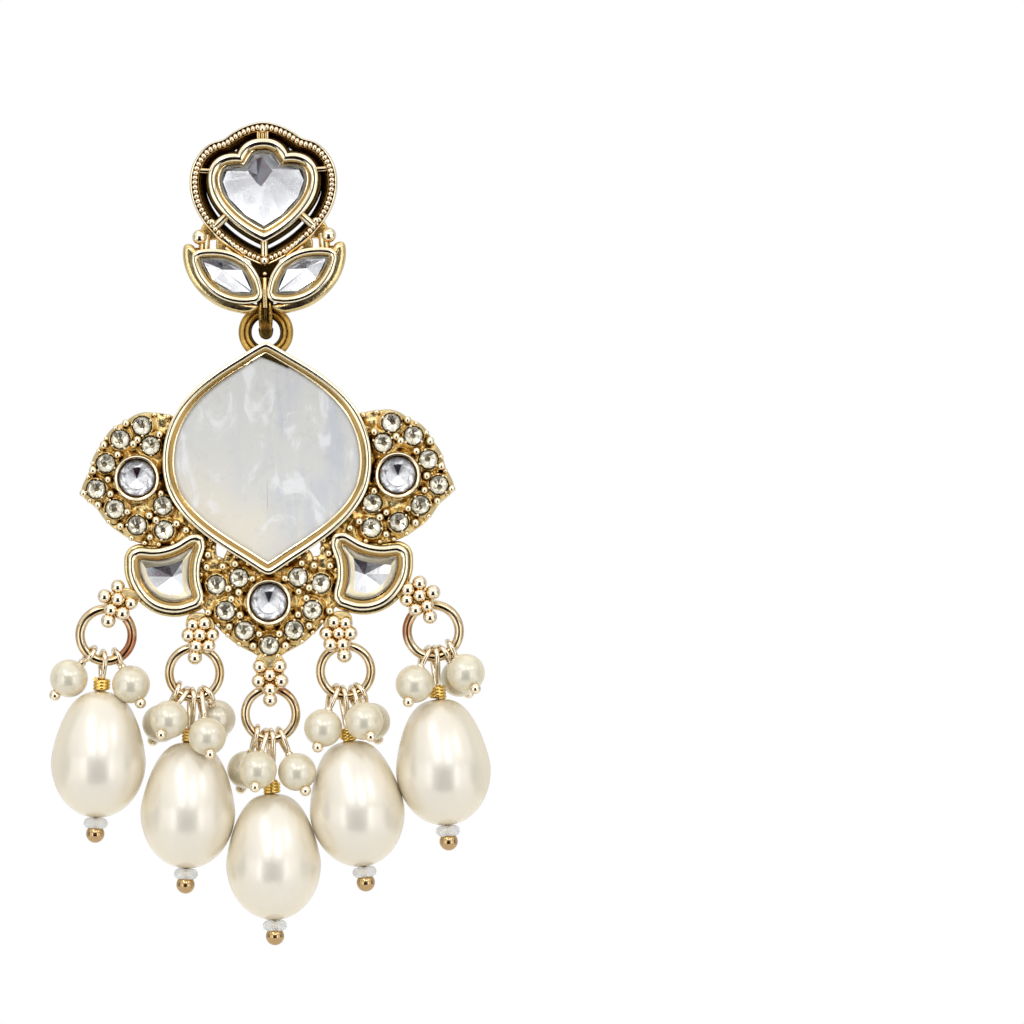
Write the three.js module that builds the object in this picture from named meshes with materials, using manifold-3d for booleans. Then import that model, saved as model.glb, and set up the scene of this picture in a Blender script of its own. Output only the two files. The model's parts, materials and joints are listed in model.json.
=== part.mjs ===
// Chandbali earring: a beaded stud with a heart stone and two leaf stones, and a free-hanging pendant with a
// mother-of-pearl diamond, two jewelled wings, a jewelled fan, two crescent stones and five pearl drops.
// Millimetres. +Z is up, the front of the earring faces -Y, and the ear post points along +Y.
// The origin is where the post meets the flat back of the stud, behind the middle of the heart stone.

import * as THREE from 'three';
import { mergeVertices } from 'three/addons/utils/BufferGeometryUtils.js';
import Module from 'manifold-3d';

const wasm = await Module();
wasm.setup();

// ---------------------------------------------------------------- driving dimensions

const STONE_GAP = 0.15; // between a stone and its setting
const BEAD_GAP = 0.15; // between a pearl and the pieces strung above and below it
const WIRE_GAP = 0.19; // between a wire loop and the wire that it hangs on

const STUD = {
  lean: 0.9, // degrees, the foot of the stud towards +X
  back: 0,
  bandBack: -0.3,
  bandFront: -2.3,
  bandHalfWidth: 0.42,
  bandShoulder: 0.2,
  bandCrest: 0.3,
  heartFront: -3.4,
  heartFloor: -1.6,
  heartWall: 1.0,
  leafBack: -1.9,
  leafFront: -3.4,
  leafFloor: -2.3,
  leafWall: 0.82,
  flangeFront: -2.7,
  ballRadius: 0.71,
  ballY: -2.3,
  hingeZ: -12.21, // middle of the hinge below the post
};

const POST = { radius: 0.43, length: 11, root: 1, tip: 0.3 };

const RING_PLANE = -0.9; // Y of the link ring, the hinge and the jump rings

const LINK = { outer: 2.88, inner: 1.68, halfDepth: 0.55 };
const LINK_MIDDLE = (LINK.inner + LINK.outer) / 2;

const BAIL = { inner: 1.05, wall: 0.85, foot: 1.45, halfWidth: 0.74, sides: 14 };

const PENDANT = {
  lean: 0.7, // degrees, the foot of the pendant towards +X
  back: -0.5,
  plateFront: -2.2,
  plateBevel: 0.3,
  rimFront: -3.3,
  slabFloor: -1.7,
  slabWall: 0.86,
  centreZ: -13.75, // middle of the diamond, below the middle of the link ring
  halfWidth: 10.87,
  top: 12.7,
  bottom: 11.76,
};

const CRESCENT = { front: -3.05, floor: -1.7, flangeFront: -1.6, wall: 1.15, flange: 1.5 };

const ROUND = { stoneRadius: 1.82, bezelRadius: 2.42, front: -3.1, floor: -1.7, sides: 14 };

const RHINESTONE = { radius: 0.98, tableRadius: 0.6, front: -2.75, sides: 5 };

const GRAIN = { radius: 0.64, y: -2.2 };

const EYELET = { radius: 0.95, wire: 0.28, webBack: -1.5, webFront: -2.2 };

const JUMP_RING = { radius: 2.7, wire: 0.48 };

const DROP = { length: 13.3, radius: 5.0, bore: 0.5, wireRadius: 0.25, endBall: 0.97 };

const SEED = { radius: 1.25, height: 0.7 };

const WRAP = { radius: 0.9, height: 1.35 };

const SMALL_PEARL = { radius: 2.0, bore: 0.48, sides: 8 };

const SMALL_PIN = { wireRadius: 0.22, endBall: 0.6 };

// How each kind of stone is cut: the Y of its girdle and of its table, and the table's share of its width.
const CUT = {
  heart: { girdle: -2.7, table: -3.3, tableShare: 0.55 },
  leaf: { girdle: -2.95, table: -3.35, tableShare: 0.6 },
  slab: { girdle: -2.6, table: -2.85, tableShare: 0.96 },
  crescent: { girdle: -2.5, table: -3.0, tableShare: 0.45 },
  round: { girdle: -2.6, table: -3.15, tableShare: 0.4 },
};

// One row for each jump ring, from left to right, in the pendant's own frame.
//   x, z     middle of the ring, measured from the middle of the link ring
//   eyelet   where the casting's eyelet holds the ring, degrees from its top towards +X
//   hook     where the drop's loop hangs, degrees from the foot of the ring towards +X
//   lean     lean of the teardrop, degrees, its foot towards +X
//   stem     from the wire of the ring to the top of the teardrop
//   pearls   small round pearls: [hook in degrees, x, y, z] from the middle of the ring
const DROPS = [
  { x: -17.2, z: -31.65, eyelet: 22, hook: -8, lean: -3.2, stem: 3.25,
    pearls: [[-42, -3.95, -0.2, -4.5], [26, 2.6, -1.0, -5.2]] },
  { x: -7.95, z: -35.75, eyelet: 14, hook: -7, lean: -2.6, stem: 4.6,
    pearls: [
      [-30, -2.65, -2.5, -4.8], [-46, -3.65, 2.0, -5.3], [13, 1.35, -3.0, -6.6], [31, 2.2, 2.35, -4.9],
    ] },
  { x: 0, z: -40.15, eyelet: 0, hook: 0, lean: 0.5, stem: 5.7,
    pearls: [[-18.5, -1.35, -2.8, -5.8], [-36, -2.7, 1.9, -5.9], [24, 2.75, -1.7, -6.1]] },
  { x: 7.95, z: -35.75, eyelet: -14, hook: -6, lean: 6.2, stem: 4.7,
    pearls: [[-30, -2.4, -1.9, -5.9], [16, 1.9, -2.45, -5.2], [34, 2.6, 2.0, -5.4]] },
  { x: 17.2, z: -31.65, eyelet: -22, hook: 3, lean: 3.6, stem: 4.5,
    pearls: [[-20, -2.0, -2.0, -5.5], [45, 3.4, -2.0, -4.4], [27, 2.7, 2.2, -5.0]] },
];

// ---------------------------------------------------------------- colours

const FINISH = {
  gold: { color: 0xd9b56a, roughness: 0.22, metalness: 1 },
  silver_gold: { color: 0xe3d3ad, roughness: 0.2, metalness: 1 },
  foiled_glass: { color: 0xdfe3ea, roughness: 0.1, metalness: 0.3 },
  mother_of_pearl: { color: 0xeceae2, roughness: 0.25, metalness: 0 },
  pearl: { color: 0xf3ebd6, roughness: 0.25, metalness: 0 },
};

// ---------------------------------------------------------------- helpers

const v2 = (x, y) => new THREE.Vector2(x, y);
const radians = THREE.MathUtils.degToRad;

/** Points of a chain of curves; the start of each curve is the end of the one before. */
function chain(curves, pointsPerCurve) {
  return curves.flatMap((curve, index) => curve.getPoints(pointsPerCurve[index]).slice(0, -1));
}

const cubic = (a, b, c, d) => new THREE.CubicBezierCurve(v2(...a), v2(...b), v2(...c), v2(...d));
const bend = (a, b, c) => new THREE.QuadraticBezierCurve(v2(...a), v2(...b), v2(...c));
const line = (a, b) => new THREE.LineCurve(v2(...a), v2(...b));

const mirrored = (outline) => outline.map((p) => v2(-p.x, p.y)).reverse();
const anticlockwise = (outline) => (THREE.ShapeUtils.area(outline) < 0 ? [...outline].reverse() : outline);

function circle(x, z, radius, sides) {
  return Array.from({ length: sides }, (_, k) => {
    const turn = (k / sides) * Math.PI * 2;
    return v2(x + radius * Math.cos(turn), z + radius * Math.sin(turn));
  });
}

/** Outline moved outwards by distance (inwards where it is negative); outward corners are kept short. */
function offset(outline, distance) {
  const longestMitre = distance > 0 ? 1.5 : 4;
  const count = outline.length;
  return outline.map((point, k) => {
    const before = point.clone().sub(outline[(k + count - 1) % count]).normalize();
    const after = outline[(k + 1) % count].clone().sub(point).normalize();
    const normal = v2(before.y + after.y, -before.x - after.x).normalize();
    const cosine = normal.dot(v2(before.y, -before.x));
    return point.clone().addScaledVector(normal, distance * Math.min(1 / cosine, longestMitre));
  });
}

/** Closed body through stacked outlines [outline, y], anticlockwise from the front, the back one first. */
function loft(layers) {
  const count = layers[0][0].length;
  const positions = layers.flatMap(([outline, y]) => outline.flatMap((p) => [p.x, y, p.y]));
  const index = [];
  for (let layer = 0; layer < layers.length - 1; layer++) {
    for (let k = 0; k < count; k++) {
      const a = layer * count + k;
      const b = layer * count + ((k + 1) % count);
      index.push(a, b, b + count, a, b + count, a + count);
    }
  }
  const last = (layers.length - 1) * count;
  for (const [a, b, c] of THREE.ShapeUtils.triangulateShape(layers[0][0], [])) index.push(c, b, a);
  for (const [a, b, c] of THREE.ShapeUtils.triangulateShape(layers.at(-1)[0], [])) {
    index.push(last + a, last + b, last + c);
  }
  const geometry = new THREE.BufferGeometry();
  geometry.setAttribute('position', new THREE.Float32BufferAttribute(positions, 3));
  geometry.setIndex(index);
  return geometry;
}

const plate = (outline, back, front) => loft([[outline, back], [outline, front]]);

/** three.js geometry as a manifold solid, with only its positions and its shared vertices merged. */
function solid(geometry, matrix) {
  const bare = new THREE.BufferGeometry();
  bare.setAttribute('position', geometry.getAttribute('position').clone());
  if (geometry.index) bare.setIndex(geometry.index.clone());
  if (matrix) bare.applyMatrix4(matrix);
  const merged = mergeVertices(bare, 1e-4);
  const vertProperties = new Float32Array(merged.getAttribute('position').array);
  const corners = Array.from(merged.index.array);
  const triVerts = [];
  for (let k = 0; k < corners.length; k += 3) {
    const [a, b, c] = corners.slice(k, k + 3);
    if (a !== b && b !== c && c !== a) triVerts.push(a, b, c);
  }
  const mesh = new wasm.Mesh({ numProp: 3, vertProperties, triVerts: new Uint32Array(triVerts) });
  return new wasm.Manifold(mesh);
}

const union = (parts) => parts.reduce((sum, part) => sum.add(part));

/** Manifold solid back as three.js geometry. */
function geometryOf(body) {
  const mesh = body.getMesh();
  const geometry = new THREE.BufferGeometry();
  geometry.setAttribute('position', new THREE.BufferAttribute(new Float32Array(mesh.vertProperties), 3));
  geometry.setIndex(new THREE.BufferAttribute(new Uint32Array(mesh.triVerts), 1));
  return geometry;
}

const at = (x, y, z) => new THREE.Matrix4().makeTranslation(x, y, z);

/** Low ball, made a little large so that its facets keep the volume of the round one. */
const ball = (radius, x, y, z) => solid(new THREE.IcosahedronGeometry(radius * 1.07, 0), at(x, y, z));

/** Body of revolution about its Y axis from [radius, height] pairs, closed on the axis or on themselves. */
const turned = (profile, sides) => new THREE.LatheGeometry(profile.map(([r, h]) => v2(r, h)), sides);

/** Slab across X with a hole in it; its outline and its hole are drawn as [y, z]. */
function acrossX(outline, hole, halfWidth, y = 0, z = 0) {
  const shape = new THREE.Shape(outline);
  shape.holes.push(new THREE.Path([...hole].reverse()));
  const geometry = new THREE.ExtrudeGeometry(shape, { depth: 2 * halfWidth, steps: 1, bevelEnabled: false });
  const axes = [[0, 1, 0], [0, 0, 1], [1, 0, 0]].map((axis) => new THREE.Vector3(...axis));
  return solid(geometry, new THREE.Matrix4().makeBasis(...axes).setPosition(-halfWidth, y, z));
}

/** Raised setting: a wall whose top edge is rounded over, still solid in the middle. */
function bezelBlock(outline, back, front) {
  const roundOver = 0.28;
  return solid(loft([[outline, back], [outline, front + roundOver], [offset(outline, -roundOver), front]]));
}

/** The space inside a setting, open to the front. */
const pocket = (outline, floor) => solid(plate(outline, floor, floor - 4));

/** Faceted stone that fits a pocket: flat back, upright edge, sloping facets and a flat table. */
function stone(pocketOutline, floor, { girdle, table, tableShare }) {
  const edge = offset(pocketOutline, -STONE_GAP);
  const middle = edge.reduce((sum, p) => sum.add(p), v2(0, 0)).divideScalar(edge.length);
  const top = edge.map((p) => middle.clone().lerp(p, tableShare));
  return loft([[edge, floor - STONE_GAP], [edge, girdle], [top, table]]);
}

/** Frame whose Z axis runs from one point towards another and whose X axis stays near the given one. */
function frameAlong(from, to, nearX) {
  const z = to.clone().sub(from).normalize();
  const y = z.clone().cross(nearX).normalize();
  const x = y.clone().cross(z);
  return new THREE.Matrix4().makeBasis(x, y, z).setPosition(from);
}

// ---------------------------------------------------------------- outlines, drawn as [x, z] from the front

const HEART = anticlockwise((() => {
  const half = chain([
    bend([0, 5.8], [2.0, 5.8], [2.6, 4.2]),
    cubic([2.6, 4.2], [4.2, 4.5], [5.9, 3.6], [5.8, 1.4]),
    cubic([5.8, 1.4], [5.7, -1.2], [2.9, -3.8], [0, -5.05]),
  ], [3, 4, 5]);
  return [...half, v2(0, -5.05), ...mirrored(half).slice(0, -1)];
})());

const BAND = anticlockwise((() => {
  const half = chain([
    cubic([0, 7.26], [1.5, 7.2], [3.0, 6.1], [3.84, 5.4]),
    cubic([3.84, 5.4], [5.9, 5.1], [7.3, 3.2], [7.16, 0.95]),
    cubic([7.16, 0.95], [7.1, -1.9], [4.3, -5.4], [0, -6.95]),
  ], [3, 4, 5]);
  return [...half, v2(0, -6.95), ...mirrored(half).slice(0, -1)];
})());

const LEAF = anticlockwise(chain([
  cubic([6.95, -6.6], [4.4, -6.3], [1.8, -6.7], [1.05, -10.55]),
  cubic([1.05, -10.55], [3.4, -11.1], [6.2, -9.9], [6.95, -6.6]),
], [6, 6]));

const LEAF_FLANGE = anticlockwise(chain([
  cubic([8.55, -5.7], [8.9, -9.0], [5.6, -12.6], [1.7, -12.5]),
  line([1.7, -12.5], [0.35, -11.7]),
  cubic([0.35, -11.7], [4.6, -11.0], [7.4, -8.0], [7.4, -5.35]),
  cubic([7.4, -5.35], [7.8, -5.0], [8.5, -4.95], [8.55, -5.7]),
], [7, 1, 4, 3]));

const DIAMOND = anticlockwise((() => {
  const { halfWidth: w, top, bottom, centreZ } = PENDANT;
  const half = chain([
    cubic([0, top], [5.2, 9.6], [w, 7.0], [w, 0]),
    cubic([w, 0], [w, -5.9], [4.6, -8.6], [0, -bottom]),
  ], [6, 6]);
  return [...half, v2(0, -bottom), ...mirrored(half).slice(0, -1)].map((p) => v2(p.x, p.y + centreZ));
})());

const CRESCENT_STONE = anticlockwise(chain([
  bend([7.75, -22.3], [10.5, -24.3], [13.6, -23.7]),
  cubic([13.6, -23.7], [13.9, -26.2], [11.6, -29.4], [7.95, -27.75]),
  bend([7.95, -27.75], [8.9, -25.0], [7.75, -22.3]),
], [4, 6, 4]));

const WING = anticlockwise([
  [9.1, -9.2], [9.9, -8.6], [12.0, -8.25], [13.6, -8.6], [15.2, -9.3], [16.8, -10.6], [17.7, -11.8],
  [18.7, -14.1], [19.75, -16.8], [17.7, -18.8], [16.5, -20.35], [14.4, -21.7], [12.6, -22.4], [8.4, -21.2],
  [7.3, -19.9], [10.2, -16.0], [10.4, -12.0],
].map(([x, z]) => v2(x, z)));

const FAN = anticlockwise((() => {
  const right = [
    [0, -24.9], [4.4, -23.5], [6.9, -24.4], [7.3, -28.6], [6.3, -29.9], [4.9, -31.7], [1.6, -33.9],
  ].map(([x, z]) => v2(x, z));
  return [...right, v2(0, -34.35), ...mirrored(right).slice(0, -1)];
})());

// ---------------------------------------------------------------- small stones and grains of the castings

const BALL_PLACE = [6.79, -4.4]; // ball on the right of the stud, [x, z]

// Middles of the rhinestones on one wing and on one half of the fan, [x, z].
const WING_RHINESTONES = [
  [13.1, -9.7], [15.4, -11.1], [12.2, -11.8], [16.95, -13.6], [18.0, -16.3],
  [16.05, -18.4], [13.75, -20.15], [11.0, -18.1], [10.9, -20.7],
];
const FAN_RHINESTONES = [[3.1, -25.8], [5.5, -26.5], [4.55, -29.25], [2.6, -31.35]];
const FAN_FOOT_RHINESTONE = [0, -32.95];

const WING_ROUND = [13.7, -15.2];
const FAN_ROUND = [0, -28.4];

// Bridges between the heart and the band, [x, z] to [x, z]; the side ones are on the right-hand side.
const BRIDGE = {
  halfWidth: 0.32,
  back: -0.4,
  front: -1.8,
  middle: [[[0, 5.3], [0, 7.2]], [[0, -4.6], [0, -6.9]]],
  side: [[[5.4, 2.5], [7.0, 2.5]], [[3.9, -2.2], [5.2, -3.4]]],
};

// Shoulders between the band and the leaf bezel of the right-hand side.
const SHOULDERS = [
  { from: [5.43, -2.9], to: [7.0, -5.9], halfWidth: 0.45, back: -1.4 },
  { from: [4.15, -4.2], to: [4.6, -6.4], halfWidth: 0.42, back: -1.2 },
  { from: [2.72, -5.0], to: [3.19, -7.0], halfWidth: 1.0, back: -1.2 },
];

// Depths, [back, front], that reach past every plate of the casting.
const CUT_THROUGH = [1, -5];

// Grains of the outer, inner and middle clusters, [x, z]; the first two are on the right-hand side.
const OUTER_GRAINS = [
  [15.85, -26.55], [17.25, -27.55], [15.85, -27.85], [14.5, -28.3],
  [16.6, -28.95], [15.4, -29.35], [16.9, -30.15],
];
const INNER_GRAINS = [
  [6.8, -30.5], [8.05, -30.65], [6.0, -31.75], [7.3, -31.7],
  [8.5, -31.75], [6.4, -32.9], [7.7, -32.9], [7.85, -34.1],
];
const MIDDLE_GRAINS = [
  [1.05, -35.1], [-1.05, -35.1], [0, -36.05], [1.2, -36.65], [-1.2, -36.65], [0, -37.55], [0, -38.65],
];

// Webs that back the clusters and carry them on the casting, [x, z].
const OUTER_WEB = [
  [13.4, -26.2], [15.9, -25.9], [17.4, -27.5], [17.2, -30.1], [16.5, -30.2], [14.2, -28.9], [13.1, -27.9],
];
const INNER_WEB = [[5.6, -29.9], [8.6, -29.2], [9.0, -31.6], [8.2, -34.1], [7.4, -34.1], [5.8, -32.6]];
const MIDDLE_WEB = [[-1.5, -33.6], [-1.5, -36.9], [-0.4, -38.6], [0.4, -38.6], [1.5, -36.9], [1.5, -33.6]];

// ---------------------------------------------------------------- casting of the stud

function earPost() {
  const { radius, length, root, tip } = POST;
  const profile = [
    [0, -root], [radius, -root], [radius, length - tip], [0.6 * radius, length], [0, length],
  ];
  return solid(turned(profile, 10));
}

/** Bar between two points, [x, z], as a flat plate. */
function bar([x1, z1], [x2, z2], halfWidth, back, front) {
  const side = v2(z1 - z2, x2 - x1).normalize().multiplyScalar(halfWidth);
  const corners = [
    v2(x1 - side.x, z1 - side.y), v2(x2 - side.x, z2 - side.y),
    v2(x2 + side.x, z2 + side.y), v2(x1 + side.x, z1 + side.y),
  ];
  return solid(plate(anticlockwise(corners), back, front));
}

const mirroredPoint = ([x, z]) => [-x, z];

/** Bridges that carry the heart bezel inside the beaded band. */
function bridges() {
  const { halfWidth, back, front, middle, side } = BRIDGE;
  const spans = [...middle, ...side, ...side.map((span) => span.map(mirroredPoint))];
  return spans.map(([from, to]) => bar(from, to, halfWidth, back, front));
}

/** Shoulders that join the band and its balls to the leaf bezels, on both sides. */
function shoulders() {
  return SHOULDERS.flatMap(({ from, to, halfWidth, back }) => [
    bar(from, to, halfWidth, back, STUD.ballY),
    bar(mirroredPoint(from), mirroredPoint(to), halfWidth, back, STUD.ballY),
  ]);
}

/** Upright loop about the hinge that carries the pendant, thicker at its foot. */
function bail() {
  const { inner, wall, foot, halfWidth, sides } = BAIL;
  const loop = (radiusAt) => Array.from({ length: sides }, (_, k) => {
    const turn = (k / sides) * Math.PI * 2;
    return v2(radiusAt(turn) * Math.cos(turn), radiusAt(turn) * Math.sin(turn));
  });
  const outer = loop((turn) => inner + wall + (foot - wall) * Math.max(0, -Math.sin(turn)) ** 2);
  return acrossX(outer, loop(() => inner), halfWidth, RING_PLANE, STUD.hingeZ);
}

function studFrame() {
  const { bandHalfWidth, bandShoulder, bandCrest, bandBack, bandFront } = STUD;
  const outer = offset(BAND, bandHalfWidth + 0.1);
  const band = solid(loft([
    [outer, bandBack], [outer, bandFront + bandShoulder], [offset(BAND, bandCrest), bandFront],
  ])).subtract(solid(plate(offset(BAND, -bandHalfWidth), ...CUT_THROUGH)));
  const heart = bezelBlock(HEART, STUD.back, STUD.heartFront);
  const parts = [band, heart, ...bridges(), ...shoulders(), earPost()];
  for (const side of [(outline) => outline, mirrored]) {
    parts.push(bezelBlock(side(offset(LEAF, STUD.leafWall)), STUD.leafBack, STUD.leafFront));
    parts.push(solid(plate(side(LEAF_FLANGE), STUD.leafBack, STUD.flangeFront)));
  }
  for (const x of [-BALL_PLACE[0], BALL_PLACE[0]]) {
    parts.push(ball(STUD.ballRadius, x, STUD.ballY, BALL_PLACE[1]));
  }
  const pockets = [pocket(offset(HEART, -STUD.heartWall), STUD.heartFloor)];
  for (const side of [(outline) => outline, mirrored]) pockets.push(pocket(side(LEAF), STUD.leafFloor));
  return union(parts).subtract(union(pockets)).add(bail());
}

// ---------------------------------------------------------------- casting of the pendant

function linkRing() {
  const { outer, inner, halfDepth } = LINK;
  const edge = 0.5 * halfDepth;
  const profile = [
    [inner, edge], [inner, -edge], [LINK_MIDDLE, -halfDepth], [outer, -edge], [outer, edge],
    [LINK_MIDDLE, halfDepth], [inner, edge],
  ];
  return solid(turned(profile, 16), at(0, RING_PLANE, 0));
}

/** Flat-fronted plate that carries rhinestones, with a small bevel round its front edge. */
function jewelledPlate(outline) {
  const { back, plateFront, plateBevel } = PENDANT;
  return solid(loft([
    [outline, back], [outline, plateFront + plateBevel], [offset(outline, -plateBevel), plateFront],
  ]));
}

function rhinestone(x, z) {
  const { radius, tableRadius, front, sides } = RHINESTONE;
  const girdle = circle(x, z, radius, sides);
  return solid(loft([[girdle, PENDANT.plateFront + 0.1], [circle(x, z, tableRadius, sides), front]]));
}

/** One cluster: its grains, the web behind them and the eyelet round the top of the jump ring. */
function cluster(grains, web, drop) {
  const parts = grains.map(([x, z]) => ball(GRAIN.radius, x, GRAIN.y, z));
  parts.push(solid(plate(anticlockwise(web.map(([x, z]) => v2(x, z))), EYELET.webBack, EYELET.webFront)));
  const turn = radians(drop.eyelet);
  const place = new THREE.Matrix4().makeRotationY(turn + Math.PI / 2).setPosition(
    drop.x + JUMP_RING.radius * Math.sin(turn), RING_PLANE, drop.z + JUMP_RING.radius * Math.cos(turn),
  );
  parts.push(solid(new THREE.TorusGeometry(EYELET.radius, EYELET.wire, 4, 8), place));
  return union(parts);
}

function pendantFrame() {
  const parts = [linkRing(), bezelBlock(DIAMOND, PENDANT.back, PENDANT.rimFront), jewelledPlate(FAN)];
  const pockets = [pocket(offset(DIAMOND, -PENDANT.slabWall), PENDANT.slabFloor)];
  const rounds = [FAN_ROUND, WING_ROUND, [-WING_ROUND[0], WING_ROUND[1]]];
  const rhinestones = [FAN_FOOT_RHINESTONE];
  for (const [x, z] of [...WING_RHINESTONES, ...FAN_RHINESTONES]) rhinestones.push([x, z], [-x, z]);
  for (const side of [(outline) => outline, mirrored]) {
    parts.push(jewelledPlate(side(WING)));
    const setting = side(offset(CRESCENT_STONE, CRESCENT.wall));
    const flange = side(offset(CRESCENT_STONE, CRESCENT.flange));
    parts.push(bezelBlock(setting, PENDANT.back, CRESCENT.front));
    parts.push(solid(plate(flange, PENDANT.back, CRESCENT.flangeFront)));
    pockets.push(pocket(side(CRESCENT_STONE), CRESCENT.floor));
  }
  for (const [x, z] of rounds) {
    parts.push(bezelBlock(circle(x, z, ROUND.bezelRadius, ROUND.sides), PENDANT.back - 0.3, ROUND.front));
    pockets.push(pocket(circle(x, z, ROUND.stoneRadius + STONE_GAP, ROUND.sides), ROUND.floor));
  }
  const flip = (points) => points.map(([x, z]) => [-x, z]);
  const clusters = [
    cluster(flip(OUTER_GRAINS), flip(OUTER_WEB), DROPS[0]),
    cluster(flip(INNER_GRAINS), flip(INNER_WEB), DROPS[1]),
    cluster(MIDDLE_GRAINS, MIDDLE_WEB, DROPS[2]),
    cluster(INNER_GRAINS, INNER_WEB, DROPS[3]),
    cluster(OUTER_GRAINS, OUTER_WEB, DROPS[4]),
  ];
  const stones = rhinestones.map(([x, z]) => rhinestone(x, z));
  return union([...parts, ...stones]).subtract(union(pockets)).add(union(clusters));
}

// ---------------------------------------------------------------- drops

/** Round wire ring standing in the plane of the front. */
function jumpRing() {
  const sides = 5;
  const profile = Array.from({ length: sides + 1 }, (_, k) => {
    const turn = ((k % sides) / sides) * Math.PI * 2;
    return [JUMP_RING.radius + JUMP_RING.wire * Math.cos(turn), JUMP_RING.wire * Math.sin(turn)];
  });
  return geometryOf(solid(turned(profile, 14)));
}

/** Radius of a teardrop, as a share of its largest, at a height from 0 at its top to 1 at its foot. */
function teardrop(height) {
  const widest = 0.55;
  if (height > widest) return Math.sqrt(1 - ((height - widest) / (1 - widest)) ** 2);
  return (1 - (1 - height / widest) ** 1.3) ** 0.36;
}

/** Bored bead whose outside is [radius, height] pairs from its foot up to its top. */
function boredBead(outside, bore, sides) {
  const profile = [[bore, outside[0][1]], ...outside, [bore, outside.at(-1)[1]], [bore, outside[0][1]]];
  return new THREE.LatheGeometry(profile.map(([r, h]) => v2(r, h)), sides).rotateX(Math.PI / 2);
}

/** Teardrop pearl hanging below its own origin. */
function dropPearl() {
  const heights = [0.99, 0.92, 0.78, 0.6, 0.4, 0.17, 0.02];
  const outside = heights.map((height) => [DROP.radius * teardrop(height), -height * DROP.length]);
  return geometryOf(solid(boredBead(outside, DROP.bore, 12)));
}

/** Round pearl about its own origin. */
function smallPearl() {
  const latitudes = [-64, -22, 22, 64].map(radians);
  const { radius, bore, sides } = SMALL_PEARL;
  const outside = latitudes.map((turn) => [radius * Math.cos(turn), radius * Math.sin(turn)]);
  return geometryOf(solid(boredBead(outside, bore, sides)));
}

/** Opening of a wire loop, drawn as [y, z] from its foot up round a wire that crosses at the hook. */
function loopOpening(foot, hook) {
  const radius = 1.08 * (JUMP_RING.wire + WIRE_GAP);
  const half = [[0.75 * radius, (foot + hook) / 2], [radius, hook], [0.7 * radius, hook + 0.7 * radius]];
  const points = [[0, foot], ...half, [0, hook + radius], ...half.map(([y, z]) => [-y, z]).reverse()];
  return points.map(([y, z]) => v2(y, z));
}

/** Pin as a body of revolution about Z, from [radius, height] pairs that start and end on the axis. */
const pinBody = (profile, sides) => solid(turned(profile, sides).rotateX(Math.PI / 2));

const ballProfile = (radius, height) => [
  [0, height - radius], [0.93 * radius, height - 0.4 * radius], [0.93 * radius, height + 0.4 * radius],
];

/** Pin of a teardrop: end ball, seed bead, shaft, wrapped neck and loop. Its origin is the pearl's top. */
function dropPin(stem) {
  const { wireRadius, endBall, length } = DROP;
  const seedTop = -length - BEAD_GAP;
  const seedFoot = seedTop - SEED.height;
  const neckFoot = BEAD_GAP;
  const neckTop = neckFoot + WRAP.height;
  const body = pinBody([
    ...ballProfile(endBall, seedFoot - 0.85 * endBall),
    [0.45 * SEED.radius, seedFoot], [SEED.radius, seedFoot + 0.15], [SEED.radius, seedTop],
    [wireRadius, seedTop], [wireRadius, neckFoot], [WRAP.radius, neckFoot], [WRAP.radius, neckTop],
    [0, neckTop],
  ], 6);
  const opening = loopOpening(neckTop + 0.15, stem);
  return geometryOf(body.add(acrossX(offset(opening, 2 * wireRadius), opening, wireRadius)));
}

/** Pin of a small pearl: end ball, square shaft and loop. Its origin is the middle of the pearl. */
function smallPin(reach) {
  const { wireRadius, endBall } = SMALL_PIN;
  const opening = loopOpening(SMALL_PEARL.radius + 0.6, reach);
  const [foot, ...rest] = offset(opening, 2 * wireRadius);
  const ballZ = -SMALL_PEARL.radius - endBall;
  const shaft = [[-wireRadius, foot.y], [-wireRadius, ballZ], [wireRadius, ballZ], [wireRadius, foot.y]];
  const shaftAndLoop = acrossX([...shaft.map(([y, z]) => v2(y, z)), ...rest], opening, wireRadius);
  return geometryOf(shaftAndLoop.add(ball(endBall, 0, 0, ballZ)));
}

// ---------------------------------------------------------------- assembly

const materials = Object.fromEntries(Object.entries(FINISH).map(([name, look]) => {
  return [name, new THREE.MeshStandardMaterial({ name, ...look })];
}));

function addMesh(group, name, geometry, finish) {
  const mesh = new THREE.Mesh(geometry, materials[finish].clone());
  mesh.name = name;
  group.add(mesh);
  return mesh;
}

function makeStud() {
  const stud = new THREE.Group();
  stud.rotation.y = -radians(STUD.lean);
  addMesh(stud, 'stud_frame', geometryOf(studFrame()), 'gold');
  const heart = offset(HEART, -STUD.heartWall);
  addMesh(stud, 'stud_heart_stone', stone(heart, STUD.heartFloor, CUT.heart), 'foiled_glass');
  const leaves = { left: mirrored(LEAF), right: LEAF };
  for (const [side, outline] of Object.entries(leaves)) {
    addMesh(stud, `stud_leaf_stone_${side}`, stone(outline, STUD.leafFloor, CUT.leaf), 'foiled_glass');
  }
  return stud;
}

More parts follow.
